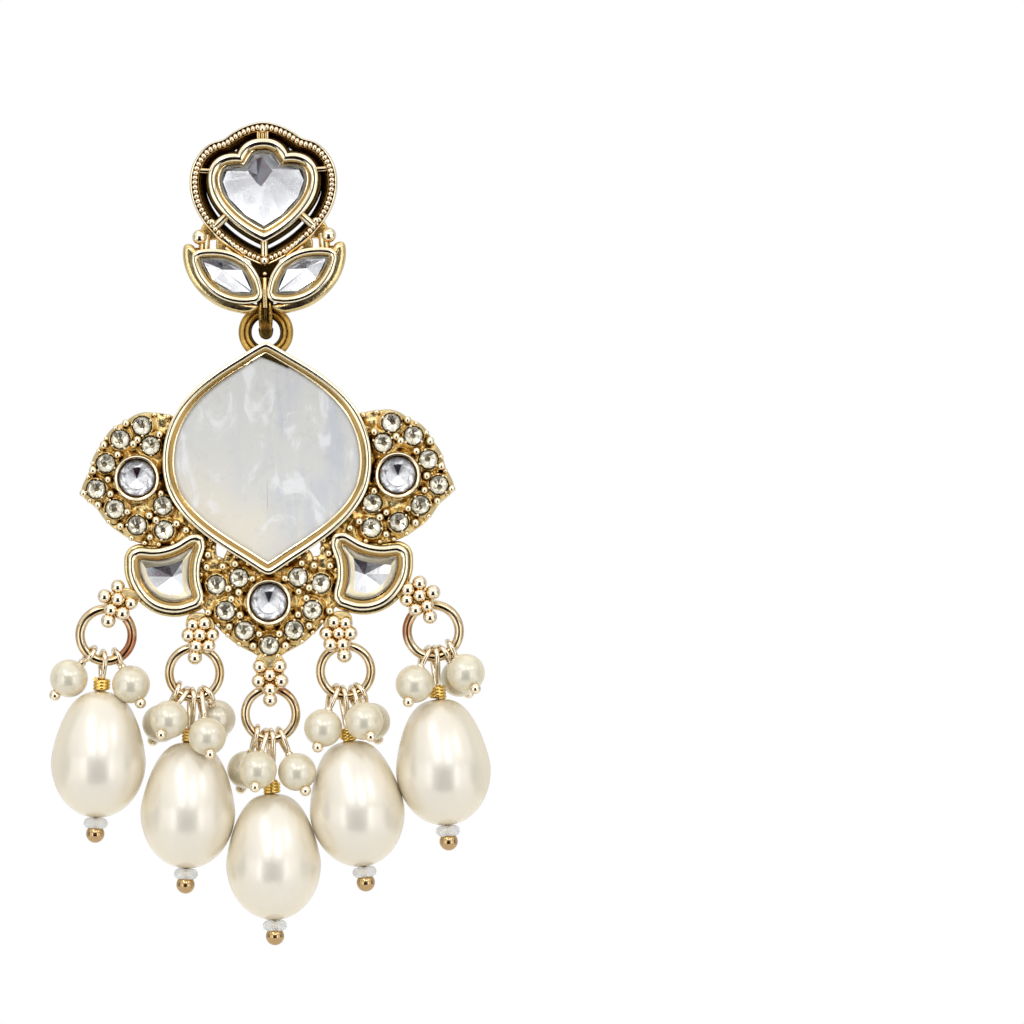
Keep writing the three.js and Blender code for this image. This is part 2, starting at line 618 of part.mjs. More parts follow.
/** Jump ring, teardrop and small pearls of one drop, in the pendant's frame. */
function makeDrop(row, number) {
  const group = new THREE.Group();
  group.position.set(row.x, RING_PLANE, row.z);
  addMesh(group, `jump_ring_${number}`, jumpRing(), 'silver_gold');
  const onRing = (degrees) => new THREE.Vector3(
    JUMP_RING.radius * Math.sin(radians(degrees)), 0, -JUMP_RING.radius * Math.cos(radians(degrees)),
  );
  const teardropGroup = new THREE.Group();
  const lean = radians(row.lean);
  teardropGroup.position.copy(onRing(row.hook));
  teardropGroup.position.add(new THREE.Vector3(row.stem * Math.sin(lean), 0, -row.stem * Math.cos(lean)));
  teardropGroup.rotation.y = -lean;
  addMesh(teardropGroup, `drop_pearl_${number}`, dropPearl(), 'pearl');
  addMesh(teardropGroup, `drop_pin_${number}`, dropPin(row.stem), 'silver_gold');
  group.add(teardropGroup);
  row.pearls.forEach(([hook, x, y, z], index) => {
    const letter = 'abcd'[index];
    const middle = new THREE.Vector3(x, y, z);
    const wire = onRing(hook);
    const alongRing = new THREE.Vector3(-wire.z, 0, wire.x);
    const place = frameAlong(middle, wire, alongRing);
    const pearl = addMesh(group, `small_pearl_${number}${letter}`, smallPearl(), 'pearl');
    const reach = middle.distanceTo(wire);
    const pin = addMesh(group, `small_pin_${number}${letter}`, smallPin(reach), 'silver_gold');
    pearl.applyMatrix4(place);
    pin.applyMatrix4(place);
  });
  return group;
}

function makePendant() {
  const pendant = new THREE.Group();
  const lean = radians(PENDANT.lean);
  pendant.rotation.y = -lean;
  // The pendant's origin is the middle of the link ring, which hangs below the hinge.
  pendant.position.set(
    -STUD.hingeZ * Math.sin(radians(STUD.lean)) + LINK_MIDDLE * Math.sin(lean), 0,
    STUD.hingeZ * Math.cos(radians(STUD.lean)) - LINK_MIDDLE * Math.cos(lean),
  );
  addMesh(pendant, 'pendant_frame', geometryOf(pendantFrame()), 'gold');
  const slab = stone(offset(DIAMOND, -PENDANT.slabWall), PENDANT.slabFloor, CUT.slab);
  addMesh(pendant, 'mother_of_pearl_stone', slab, 'mother_of_pearl');
  const crescents = { left: mirrored(CRESCENT_STONE), right: CRESCENT_STONE };
  for (const [side, outline] of Object.entries(crescents)) {
    addMesh(pendant, `crescent_stone_${side}`, stone(outline, CRESCENT.floor, CUT.crescent), 'foiled_glass');
  }
  const rounds = { left: [-WING_ROUND[0], WING_ROUND[1]], right: WING_ROUND, bottom: FAN_ROUND };
  for (const [place, [x, z]] of Object.entries(rounds)) {
    const seat = circle(x, z, ROUND.stoneRadius + STONE_GAP, ROUND.sides);
    addMesh(pendant, `round_stone_${place}`, stone(seat, ROUND.floor, CUT.round), 'foiled_glass');
  }
  DROPS.forEach((row, index) => pendant.add(makeDrop(row, index + 1)));
  return pendant;
}

const group = new THREE.Group();
group.name = 'chandbali_earring';
group.add(makeStud(), makePendant());

export default group;
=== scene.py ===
"""Chandbali earring: the finished stud, pendant and pearl drops, built on the packed model.

Shapes are drawn in millimetres in the frame of the stud or of the pendant, and placed in metres.
In both frames +X is right, +Z is up and the front faces -Y.
"""

import json
import math
import random

import bmesh
import bpy
import numpy as np
from mathutils import Matrix, Vector, geometry, noise


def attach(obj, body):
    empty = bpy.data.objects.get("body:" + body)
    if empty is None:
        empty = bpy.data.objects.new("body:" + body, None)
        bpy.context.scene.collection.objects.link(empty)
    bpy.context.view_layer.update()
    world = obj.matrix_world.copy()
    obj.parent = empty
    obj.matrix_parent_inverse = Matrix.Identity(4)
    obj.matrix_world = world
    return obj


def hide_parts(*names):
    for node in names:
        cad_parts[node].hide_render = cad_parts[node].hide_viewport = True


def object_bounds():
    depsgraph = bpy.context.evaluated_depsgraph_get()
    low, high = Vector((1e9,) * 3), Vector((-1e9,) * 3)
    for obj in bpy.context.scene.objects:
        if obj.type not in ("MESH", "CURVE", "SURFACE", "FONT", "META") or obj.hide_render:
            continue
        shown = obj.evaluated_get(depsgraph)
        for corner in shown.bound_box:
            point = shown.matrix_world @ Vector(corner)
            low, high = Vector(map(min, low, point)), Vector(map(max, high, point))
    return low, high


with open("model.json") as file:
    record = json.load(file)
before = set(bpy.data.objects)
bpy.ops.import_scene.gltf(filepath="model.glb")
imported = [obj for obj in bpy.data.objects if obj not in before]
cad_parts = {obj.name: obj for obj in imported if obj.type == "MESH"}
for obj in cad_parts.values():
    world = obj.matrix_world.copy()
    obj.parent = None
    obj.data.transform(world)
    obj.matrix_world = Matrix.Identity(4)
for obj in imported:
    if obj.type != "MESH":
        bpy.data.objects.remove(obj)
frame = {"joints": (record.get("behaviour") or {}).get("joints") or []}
CAD_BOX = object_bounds()

bl_info = {
    "name": "Chandbali earring",
    "version": (1, 0, 0),
    "blender": (4, 5, 0),
    "location": "3D View > Sidebar > Earring",
    "description": "Builds a chandbali earring with foiled stones, mother-of-pearl and pearl drops",
    "category": "Add Mesh",
}

MM = 0.001


def srgb(red, green, blue):
    """Linear colour from the 0 to 255 values of a colour picker."""
    return tuple(((c / 255 + 0.055) / 1.055) ** 2.4 if c > 10 else c / 3295 for c in (red, green, blue))


# ---------------------------------------------------------------- places of the two bodies

HINGE = Vector(frame["joints"][0]["pos_m"]) / MM
RING_PLANE = HINGE.y
LINK = {"inner": 1.68, "outer": 2.88, "half_depth": 0.55}
LINK_MIDDLE = (LINK["inner"] + LINK["outer"]) / 2
STUD_LEAN = math.atan2(HINGE.x, -HINGE.z)
PENDANT_LEAN = math.radians(0.7)
PENDANT_ORIGIN = (
    HINGE.x + LINK_MIDDLE * math.sin(PENDANT_LEAN),
    0,
    HINGE.z - LINK_MIDDLE * math.cos(PENDANT_LEAN),
)
TO_METRES = Matrix.Scale(MM, 4)
PLACES = {
    "stud": TO_METRES @ Matrix.Rotation(-STUD_LEAN, 4, "Y"),
    "pendant": TO_METRES @ Matrix.Translation(PENDANT_ORIGIN) @ Matrix.Rotation(-PENDANT_LEAN, 4, "Y"),
}

# ---------------------------------------------------------------- outlines, drawn as [x, z] from the front

HEART = (((0, 5.8), (2.0, 5.8), (2.6, 4.2)), ((2.6, 4.2), (4.2, 4.5), (5.9, 3.6), (5.8, 1.4)),
         ((5.8, 1.4), (5.7, -1.2), (2.9, -3.8), (0, -5.05)))
BAND = (((0, 7.0), (1.5, 6.95), (3.0, 6.0), (3.84, 5.35)),
        ((3.84, 5.35), (5.9, 5.1), (7.3, 3.2), (7.16, 0.95)),
        ((7.16, 0.95), (7.1, -1.9), (4.3, -5.4), (0, -6.95)))
LEAF = (((6.95, -6.6), (4.4, -6.3), (1.55, -6.7), (0.92, -10.6)),
        ((0.92, -10.6), (3.4, -11.1), (6.2, -9.9), (6.95, -6.6)))
LEAF_FLANGE = (((8.55, -5.7), (8.9, -9.0), (5.6, -12.6), (1.7, -12.5)), ((1.7, -12.5), (0.35, -11.7)),
               ((0.35, -11.7), (4.6, -11.0), (7.4, -5.35)),
               ((7.4, -5.35), (7.8, -5.0), (8.5, -4.95), (8.55, -5.7)))
DIAMOND_Z = -13.75
DIAMOND = (((0, -1.05), (5.2, -4.15), (10.87, -6.75), (10.87, DIAMOND_Z)),
           ((10.87, DIAMOND_Z), (10.87, -19.65), (4.6, -22.35), (0, -25.51)))
CRESCENT = (((7.75, -22.3), (10.5, -24.3), (13.6, -23.7)),
            ((13.6, -23.7), (13.9, -26.2), (11.6, -29.4), (7.95, -27.75)),
            ((7.95, -27.75), (8.9, -25.0), (7.75, -22.3)))
WING = ((9.1, -9.2), (9.9, -8.6), (12.0, -8.25), (13.6, -8.6), (15.2, -9.3), (16.8, -10.6), (17.7, -11.8),
        (18.7, -14.1), (19.75, -16.8), (17.7, -18.8), (16.5, -20.35), (14.4, -21.7), (12.6, -22.4),
        (9.4, -22.3), (6.7, -22.1), (6.5, -20.6), (10.2, -16.0), (10.4, -12.0))
FAN_HALF = ((0, -24.9), (2.0, -24.0), (4.1, -22.8), (4.5, -23.05), (4.75, -23.6), (5.3, -23.4), (5.4, -22.7),
            (5.3, -21.9), (6.2, -21.3), (7.0, -22.2), (7.3, -24.0), (7.3, -28.6), (6.3, -29.9),
            (4.9, -31.7), (1.6, -33.9), (0, -34.35))

# ---------------------------------------------------------------- small stones and grains, placed as [x, z]

WING_RHINESTONES = ((13.1, -9.7), (15.4, -11.1), (12.2, -11.8), (16.95, -13.6), (18.0, -16.3),
                    (16.05, -18.4), (13.75, -20.15), (11.0, -18.1), (10.9, -20.7))
FAN_RHINESTONES = ((3.1, -25.8), (5.5, -26.5), (4.55, -29.25), (2.6, -31.35), (0, -32.95))
WING_ROUND = (13.7, -15.2)
FAN_ROUND = (0, -28.4)
WING_BALLS = ((14.8, -9.4), (17.15, -11.65), (18.3, -14.3), (19.35, -16.7), (17.85, -17.95), (15.7, -12.7),
              (16.75, -15.3), (16.5, -16.8), (14.05, -11.6), (13.6, -11.15), (11.2, -16.8), (15.5, -20.2),
              (14.75, -18.7), (12.45, -19.1), (11.75, -19.6), (12.4, -21.4), (9.6, -20.0), (8.6, -20.7),
              (11.26, -10.63))
FAN_BALLS = ((4.25, -26.9), (3.15, -27.3), (3.95, -28.0), (3.05, -29.7), (4.2, -30.9), (1.05, -31.7),
             (1.7, -32.95), (6.4, -29.35), (1.7, -25.9), (4.8, -24.55), (3.5, -24.3), (6.35, -23.3),
             (6.5, -24.6))
OUTER_GRAINS = ((15.85, -26.55), (17.25, -27.55), (15.85, -27.85), (14.5, -28.3), (16.6, -28.95),
                (15.4, -29.35), (16.9, -30.15))
INNER_GRAINS = ((6.8, -30.5), (8.05, -30.65), (6.0, -31.75), (7.3, -31.7), (8.5, -31.75), (6.4, -32.9),
                (7.7, -32.9), (7.85, -34.1))
MIDDLE_GRAINS = ((1.05, -35.1), (-1.05, -35.1), (0, -36.05), (1.2, -36.65), (-1.2, -36.65), (0, -37.55),
                 (0, -38.65))
OUTER_WEB = ((13.4, -27.0), (15.7, -26.4), (17.4, -27.5), (17.2, -30.1), (16.5, -30.2), (14.2, -28.9),
             (13.1, -27.9))
INNER_WEB = ((5.6, -29.9), (8.6, -29.2), (9.0, -31.6), (8.2, -34.1), (7.4, -34.1), (5.8, -32.6))
MIDDLE_WEB = ((-1.5, -33.6), (-1.5, -36.9), (-0.4, -38.6), (0.4, -38.6), (1.5, -36.9), (1.5, -33.6))

# One row for each jump ring, from left to right: middle of the ring [x, z] below the link ring, the
# eyelet's angle from the ring's top and the drop's hook from its foot in degrees towards +X, the lean of
# the teardrop, its stem from the ring's wire to its top, and its small pearls: [hook, x, y, z] from the
# middle of the ring.
DROPS = (
    ((-17.2, -31.65), 22, -8, -3.2, 3.25, ((-42, -3.95, -0.2, -4.5), (26, 2.6, -1.0, -5.2))),
    ((-7.95, -35.75), 14, -7, -2.6, 4.6,
     ((-30, -2.65, -2.5, -4.8), (-46, -3.65, 2.0, -5.3), (13, 1.35, -3.0, -6.6), (31, 2.2, 2.35, -4.9))),
    ((0, -40.15), 0, 0, 0.5, 5.7,
     ((-18.5, -1.35, -2.8, -5.8), (-36, -2.7, 1.9, -5.9), (24, 2.75, -1.7, -6.1))),
    ((7.95, -35.75), -14, -6, 6.2, 4.7,
     ((-30, -2.4, -1.9, -5.9), (16, 1.9, -2.45, -5.2), (34, 2.6, 2.0, -5.4))),
    ((17.2, -31.65), -22, 3, 3.6, 4.5,
     ((-20, -2.0, -2.0, -5.5), (45, 3.4, -2.0, -4.4), (27, 2.7, 2.2, -5.0))),
)
RING = {"radius": 2.7, "wire": 0.48}
DROP = {"length": 13.3, "radius": 5.0, "wire": 0.25, "end_ball": 0.97, "gap": 0.15}
SEED = {"radius": 1.25, "height": 0.7}
WRAP = {"radius": 0.9, "height": 1.35}
SMALL = {"radius": 2.0, "wire": 0.22, "end_ball": 0.6}
WIRE_GAP = 0.19

# Cups that hold the stones. wall is their thickness; back, front, seat and floor are depths; rim and rise
# shape the crest; slope is the depth where their inside meets the stone, and lip how far it reaches under.
CUPS = {
    "heart": {"wall": 1.1, "back": 0, "front": -3.4, "seat": -2.85, "floor": -1.6, "rim": 0.38, "rise": 0.18,
              "slope": -2.9, "lip": 0.05},
    "leaf": {"wall": 0.82, "back": -1.9, "front": -3.4, "seat": -3.0, "floor": -2.3, "rim": 0.3, "rise": 0.16,
             "slope": -3.02, "lip": 0.05},
    "diamond": {"wall": 1.15, "back": -0.5, "front": -3.3, "seat": -2.7, "floor": -1.7, "rim": 0.3,
                "rise": 0.14, "slope": -2.78, "lip": 0.03},
    "crescent": {"wall": 1.15, "back": -0.54, "front": -3.05, "seat": -2.6, "floor": -1.7, "rim": 0.34,
                 "rise": 0.16, "slope": -2.6, "lip": 0.03},
}
BAND_BACK, BAND_FRONT = -0.3, -2.3
PLATE_BACK, PLATE_FRONT = -0.6, -2.2
RHINESTONE = 0.97
ROUND_SEAT = 2.3
LOOP_TWIST = Matrix.Rotation(math.radians(16), 4, "Z")
NO_CORNERS = 179
FEW_CORNERS = 60


# ---------------------------------------------------------------- lines

def bezier(control, count):
    """Points along a Bezier curve of any degree, without its end."""
    share = np.arange(count)[:, None] / count
    degree = len(control) - 1
    return sum(
        math.comb(degree, k) * share**k * (1 - share) ** (degree - k) * np.array(point, float)
        for k, point in enumerate(control)
    )


def unit(vectors):
    return vectors / np.maximum(np.linalg.norm(vectors, axis=-1, keepdims=True), 1e-9)


def outline(points, corner_degrees=42):
    """Closed anticlockwise outline as (points, which of them are sharp corners)."""
    points = np.array(points, float)
    ahead = np.roll(points, -1, 0)
    if np.sum(points[:, 0] * ahead[:, 1] - ahead[:, 0] * points[:, 1]) < 0:
        points = points[::-1]
    after = unit(np.roll(points, -1, 0) - points)
    before = np.roll(after, 1, 0)
    turn = np.degrees(np.arccos(np.clip(np.sum(after * before, 1), -1, 1)))
    return points, turn > corner_degrees


def curved(curves, counts, symmetric=False):
    """Outline from a chain of curves; a symmetric one is drawn as its right half."""
    points = np.vstack([bezier(curve, count) for curve, count in zip(curves, counts)])
    if symmetric:
        points = np.vstack([points, [curves[-1][-1]], points[:0:-1] * (-1, 1)])
    return outline(points)


def mirrored(shape):
    points, corners = shape
    return points[::-1] * (-1, 1), corners[::-1]


def offset(shape, distance):
    """Outline moved outwards by a distance, inwards where it is negative."""
    points, corners = shape
    before = unit(points - np.roll(points, 1, 0))
    after = unit(np.roll(points, -1, 0) - points)
    normal = unit(np.stack([before[:, 1] + after[:, 1], -before[:, 0] - after[:, 0]], 1))
    cosine = normal[:, 0] * before[:, 1] - normal[:, 1] * before[:, 0]
    reach = np.minimum(1 / cosine, 1.5 if distance > 0 else 4)
    return points + normal * distance * reach[:, None], corners


def rounded(shape, reach, steps=4):
    """Outline whose outward corners are blunted by a curve that starts this far from each."""
    points, corners = shape
    made, sharp = [], []
    for k, point in enumerate(points):
        before, after = points[k - 1] - point, points[(k + 1) % len(points)] - point
        if not corners[k] or before[0] * after[1] - before[1] * after[0] > 0:
            made.append(point)
            sharp.append(corners[k])
            continue
        start = point + before * min(0.45, reach / np.linalg.norm(before))
        end = point + after * min(0.45, reach / np.linalg.norm(after))
        for t in np.linspace(0, 1, steps + 1):
            made.append((1 - t) ** 2 * start + 2 * t * (1 - t) * point + t**2 * end)
            sharp.append(False)
    return np.array(made), np.array(sharp)


def smooth_line(shape, steps=6):
    """Closed line through an outline's points: arcs between its corners, which stay sharp."""
    points, corners = shape
    following = np.roll(points, -1, 0)
    chord = unit(following - points)
    length = np.linalg.norm(following - points, axis=1, keepdims=True)
    tangent = unit(chord + np.roll(chord, 1, 0))
    start, end = tangent.copy(), np.roll(tangent, -1, 0)
    corner_ahead = np.roll(corners, -1)

    def reflected(vector):
        return 2 * np.sum(vector * chord, 1, keepdims=True) * chord - vector

    first, last = reflected(end), reflected(start)
    start[corners] = first[corners]
    end[corner_ahead] = last[corner_ahead]
    both = corners & corner_ahead
    start[both], end[both] = chord[both], chord[both]
    line = []
    for t in np.arange(steps) / steps:
        line.append((2 * t**3 - 3 * t**2 + 1) * points + (t**3 - 2 * t**2 + t) * length * start
                    + (3 * t**2 - 2 * t**3) * following + (t**3 - t**2) * length * end)
    return np.stack(line, 1).reshape(-1, 2)


def circle(x, z, radius, sides):
    turn = np.arange(sides) * math.tau / sides
    return np.stack([x + radius * np.cos(turn), z + radius * np.sin(turn)], 1)


def at_depth(line, y):
    """Points [x, z] as [x, y, z]."""
    return np.stack([line[:, 0], np.full(len(line), float(y)), line[:, 1]], 1)


def evenly(line, pitch):
    """Points at an even pitch along a closed line."""
    closed = np.vstack([line, line[:1]])
    run = np.concatenate([[0], np.cumsum(np.linalg.norm(np.diff(closed, axis=0), axis=1))])
    count = round(run[-1] / pitch)
    stations = np.arange(count) * run[-1] / count
    return np.stack([np.interp(stations, run, closed[:, axis]) for axis in range(line.shape[1])], 1)


def outward(line):
    """Outward direction at each point of a closed line."""
    ahead = unit(np.roll(line, -1, 0) - np.roll(line, 1, 0))
    return np.stack([ahead[:, 1], -ahead[:, 0]], 1)


# ---------------------------------------------------------------- bodies, as (points, faces)

def skin(rows, closed=False):
    """Body through rows of points; its ends are capped unless the last row joins the first."""
    rows = np.array(rows, float)
    count, around = rows.shape[:2]
    faces = []
    for row in range(count if closed else count - 1):
        here, there = row * around, (row + 1) % count * around
        for k in range(around):
            ahead = (k + 1) % around
            faces.append((here + k, here + ahead, there + ahead, there + k))
    if not closed:
        faces += [tuple(range(around)), tuple(range((count - 1) * around, count * around))]
    return rows.reshape(-1, 3), faces


def moved(shape, place):
    """Body moved by a matrix or by a vector."""
    points, faces = shape
    if isinstance(place, Matrix):
        turn = np.array(place)
        return points @ turn[:3, :3].T + turn[:3, 3], faces
    return points + np.array(place, float), faces


def turned(profile, sides, axis="z", closed=False):
    """Body of revolution from [radius, height] pairs."""
    turn = np.arange(sides) * math.tau / sides
    rows = []
    for radius, height in profile:
        wide = (radius * np.cos(turn), radius * np.sin(turn))
        level = np.full(sides, float(height))
        rows.append(np.stack((*wide, level) if axis == "z" else (wide[0], level, wide[1]), 1))
    return skin(rows, closed)


def rod(radius, low, high, sides):
    return turned([(0, low), (radius, low), (radius, high), (0, high)], sides)


def wire(path, radius, sides=10, closed=False):
    """Round wire along a path, with its section carried along without twist."""
    path = np.array(path, float)
    if closed:
        tangent = unit(np.roll(path, -1, 0) - np.roll(path, 1, 0))
    else:
        tangent = unit(np.gradient(path, axis=0))
    side = np.cross(tangent[0], (0.31, 0.95, 0.05))
    turn = np.arange(sides) * math.tau / sides
    rows = []
    for point, ahead in zip(path, tangent):
        side = side - np.dot(side, ahead) * ahead
        side /= np.linalg.norm(side)
        other = np.cross(ahead, side)
        rows.append(point + radius * (np.outer(np.cos(turn), side) + np.outer(np.sin(turn), other)))
    return skin(rows, closed)


def taken_from(work):
    """Body that a bmesh holds; the bmesh is freed."""
    work.verts.index_update()
    shape = (np.array([v.co for v in work.verts]), [tuple(v.index for v in f.verts) for f in work.faces])
    work.free()
    return shape


BALLS = {}


def ball(radius, centre, detail=3):
    if detail not in BALLS:
        work = bmesh.new()
        bmesh.ops.create_icosphere(work, subdivisions=detail, radius=1)
        BALLS[detail] = taken_from(work)
    points, faces = BALLS[detail]
    return points * radius + np.array(centre, float), faces


def across(outer, inner, profile):
    """Rows across a setting from [share of the way from the outer to the inner outline, y] pairs."""
    outside, inside = smooth_line(outer), smooth_line(inner)
    return [at_depth(outside + (inside - outside) * share, y) for share, y in profile]


def cup(shape, size):
    """Cup that holds a stone: upright outside and a gently curved crest; the outline is its outside."""
    wall, front, rim = size["wall"], size["front"], size["rim"]
    profile = [(0, size["back"]), (0, front + 0.6), (0.02, front + size["rise"] + 0.1)]
    for k in range(9):
        u = k / 4 - 1
        profile.append((rim * (1 + u) + 0.02, front + size["rise"] * abs(u) ** 2))
    profile += [(2 * rim + 0.04, front + 0.5), (wall, size["seat"] + 0.3), (wall, size["floor"])]
    return skin(across(shape, offset(shape, -wall), [(run / wall, y) for run, y in profile]))


def liner(shape, size):
    """Sloping inside of a cup, from its crest down to the stone."""
    wall, slope = size["wall"], size["slope"]
    start, end = 2 * size["rim"] - 0.03, wall + size["lip"]
    crest = size["front"] + size["rise"]
    profile = [(start, crest), (start + 0.4 * (wall - start), crest + 0.5 * (slope - crest)), (end, slope),
               (end, slope + 0.14), (start, crest + 0.3)]
    return skin(across(shape, offset(shape, -wall), [(run / wall, y) for run, y in profile]), closed=True)


def inner_line(shape, inset, depth, thick):
    """Fine wire along the inside of a cup."""
    return wire(at_depth(smooth_line(offset(shape, -inset), 3), depth), thick, 8, closed=True)


def border_band(shape, start, end, y, fall):
    """Sloping band under the edge of a clear stone, between two distances inside its outline."""
    outer, inner = smooth_line(offset(shape, -start)), smooth_line(offset(shape, -end))
    thick = 0.12
    rows = [(outer, y), (inner, y + fall), (inner, y + fall + thick), (outer, y + thick)]
    return skin([at_depth(line, depth) for line, depth in rows], closed=True)


def pillow(shape, back, front, roundness):
    """Plate whose front edge is rounded over."""
    line = smooth_line(shape, 4)
    inner = smooth_line(offset(shape, -roundness), 4)
    rows = [at_depth(line, back)]
    for k in range(5):
        turn = math.pi / 2 * k / 4
        drop = roundness * (1 - math.sin(turn))
        rows.append(at_depth(line + (inner - line) * (1 - math.cos(turn)), front + drop))
    return skin(rows)


def depth_inside(points, border):
    """Distance of each point from a closed line, negative outside it."""
    ahead = np.roll(border, -1, 0) - border
    away = points[:, None, :] - border[None, :, :]
    along = np.clip(np.sum(away * ahead, 2) / np.sum(ahead * ahead, 1), 0, 1)
    nearest = np.sqrt(np.min(np.sum((away - along[..., None] * ahead) ** 2, 2), 1))
    above = (border[:, 1] > points[:, 1:2]) != (np.roll(border, -1, 0)[:, 1] > points[:, 1:2])
    rise = np.where(ahead[:, 1] == 0, 1e-9, ahead[:, 1])
    crossing = border[:, 0] + (points[:, 1:2] - border[:, 1]) / rise * ahead[:, 0]
    inside = np.sum(above & (points[:, 0:1] < crossing), 1) % 2 == 1
    return np.where(inside, nearest, -nearest)


def relief(border, back, height, extra, spacing):
    """Cast plate: its front is a fine net of points, each at the depth that height(points, inside) gives."""
    low, high = border.min(0), border.max(0)
    columns = np.arange(low[0], high[0], spacing)
    levels = np.arange(low[1], high[1], spacing)
    net = np.stack(np.meshgrid(columns, levels), -1).reshape(-1, 2)
    net = np.vstack([net, extra])
    net = net[depth_inside(net, border) > 0.3 * spacing]
    points = np.vstack([border, net])
    loop = list(range(len(border)))
    found = geometry.delaunay_2d_cdt([Vector(p) for p in points], [], [loop], 1, 1e-4)
    flat = np.array([tuple(p) for p in found[0]])
    inside = np.maximum(depth_inside(flat, border), 0)
    front = np.stack([flat[:, 0], height(flat, inside), flat[:, 1]], 1)
    rim = height(border, np.zeros(len(border)))
    top = np.stack([border[:, 0], rim, border[:, 1]], 1)
    side_points, side_faces = skin([at_depth(border, back), top])
    return [(front, [tuple(f) for f in found[2]]), (side_points, side_faces[:-1])]


def frame_along(start, end, near_x):
    """Matrix whose Z axis runs from one point to another and whose X axis stays near the given one."""
    z = (end - start).normalized()
    y = z.cross(near_x).normalized()
    turn = Matrix((y.cross(z), y, z)).transposed().to_4x4()
    turn.translation = start
    return turn


# ---------------------------------------------------------------- pieces

MERGE = 2e-6
# An edge is smooth where its faces turn by less than this many degrees.
SHARP = 38


def new_object(name, data):
    made = bpy.data.objects.new(name, data)
    bpy.context.scene.collection.objects.link(made)
    return made


def add_piece(name, shapes, place, body, slot, material, replaced=(), sharp=SHARP):
    """Makes one mesh object from bodies in millimetres, and says where it belongs."""
    points, faces, start = [], [], 0
    for shape_points, shape_faces in shapes:
        points.append(shape_points)
        faces += [tuple(start + k for k in face) for face in shape_faces]
        start += len(shape_points)
    points = np.vstack(points)
    turn = np.array(place)
    points = points @ turn[:3, :3].T + turn[:3, 3]
    mesh = bpy.data.meshes.new(name)
    mesh.from_pydata(points.tolist(), [], faces)
    work = bmesh.new()
    work.from_mesh(mesh)
    bmesh.ops.remove_doubles(work, verts=work.verts, dist=MERGE)
    bmesh.ops.dissolve_degenerate(work, edges=work.edges, dist=MERGE)
    bmesh.ops.recalc_face_normals(work, faces=work.faces)
    work.to_mesh(mesh)
    work.free()
    if sharp:
        mesh.shade_smooth()
        mesh.set_sharp_from_angle(angle=math.radians(sharp))
    else:
        mesh.shade_flat()
    mesh.materials.append(material)
    made = new_object(name, mesh)
    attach(made, body)
    if replaced:
        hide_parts(*replaced)
    return made


def add_gold(body, name, shapes, finish, replaced=(), sharp=SHARP):
    """Adds a cast piece of the stud or of the pendant in one of the plated finishes."""
    return add_piece(name, shapes, PLACES[body], body, "gold", plated(finish), replaced, sharp)


def add_stone(body, name, shapes, material, replaced=(), sharp=SHARP):
    """Adds a piece of a foiled stone to the stud or to the pendant."""
    return add_piece(name, shapes, PLACES[body], body, "foiled_glass", material, replaced, sharp)


def mark_dusk(made, reflecting_dark):
    """Marks each facet of a foil with the share of painted dark reflection given for the facet's middle."""
    shade = made.data.attributes.new("dusk", "FLOAT", "FACE")
    for face in made.data.polygons:
        shade.data[face.index].value = reflecting_dark(face.center)


# ---------------------------------------------------------------- settings that a user would change

def colour_setting(name, description, default):
    return bpy.props.FloatVectorProperty(
        name=name, description=description, default=default, size=3, min=0, max=1, subtype="COLOR")


def length_setting(name, description, millimetres):
    return bpy.props.FloatProperty(
        name=name, description=description, default=millimetres * MM, min=0, subtype="DISTANCE",
        unit="LENGTH", precision=5)


def share_setting(name, description, default):
    return bpy.props.FloatProperty(
        name=name, description=description, default=default, min=0, max=1, subtype="FACTOR")


POLISH = 0.07


class MetalSettings(bpy.types.PropertyGroup):
    """Plated metals of the castings and the wires"""

    champagne: colour_setting("Champagne gold", "Polished rims and crests", srgb(241, 229, 198))
    # Yellow gold is painted shade: the metal deepened where its form closes in, standing for gold lit by
    # gold.
    yellow: colour_setting("Yellow gold", "Metal where its form closes in", srgb(222, 178, 92))
    # Slope gold is the cups' gold darkened as painted shade for the slopes inside them.
    slope: colour_setting("Slope gold", "Slopes inside the cups", srgb(172, 141, 84))
    antique: colour_setting("Antique gold", "Cast plates of the wings and the fan", srgb(226, 204, 150))
    bail: colour_setting("Olive gold", "Bail and link ring", srgb(184, 148, 78))
    silver: colour_setting("Silver gold", "Grains and loops", srgb(240, 226, 200))
    copper: colour_setting("Copper", "Tarnish on the jump rings", srgb(168, 112, 78))
    wrap: colour_setting("Wrap gold", "Wrapped necks of the drops", srgb(240, 204, 118))
    ball: colour_setting("Ball gold", "End balls of the teardrops", srgb(190, 160, 116))
    # The crevice colour is tarnish, darkened further as painted shade.
    crevice: colour_setting("Patina", "Dark finish left in the crevices", srgb(62, 38, 14))
    polish: share_setting("Roughness", "Roughness of the polished metal", POLISH)


class StoneSettings(bpy.types.PropertyGroup):
    """Foiled glass and mother-of-pearl"""

    foil: colour_setting("Silver foil", "Foil behind the large stones", srgb(240, 241, 245))
    champagne_foil: colour_setting("Champagne foil", "Foil behind the rhinestones", srgb(246, 242, 229))
    # These three dark colours are painted reflections of the dark below the camera, laid on chosen facets.
    dusk: colour_setting("Dusk", "Dusky facets of the large stones", srgb(86, 90, 104))
    olive: colour_setting("Olive", "Dark middles of the rhinestones", srgb(92, 78, 56))
    plum: colour_setting("Plum", "Flecks in the dusky facets", srgb(84, 42, 64))
    shell: colour_setting("Shell", "Milky white of the mother-of-pearl", srgb(217, 217, 214))
    shell_cool: colour_setting("Cool wisps", "Blue-grey wisps of the mother-of-pearl", srgb(203, 206, 212))
    shell_warm: colour_setting("Warm edge", "Ivory towards the edge of the mother-of-pearl",
                               srgb(228, 223, 208))
    shell_bright: colour_setting("Bright curls", "White curls of the mother-of-pearl", srgb(240, 241, 242))


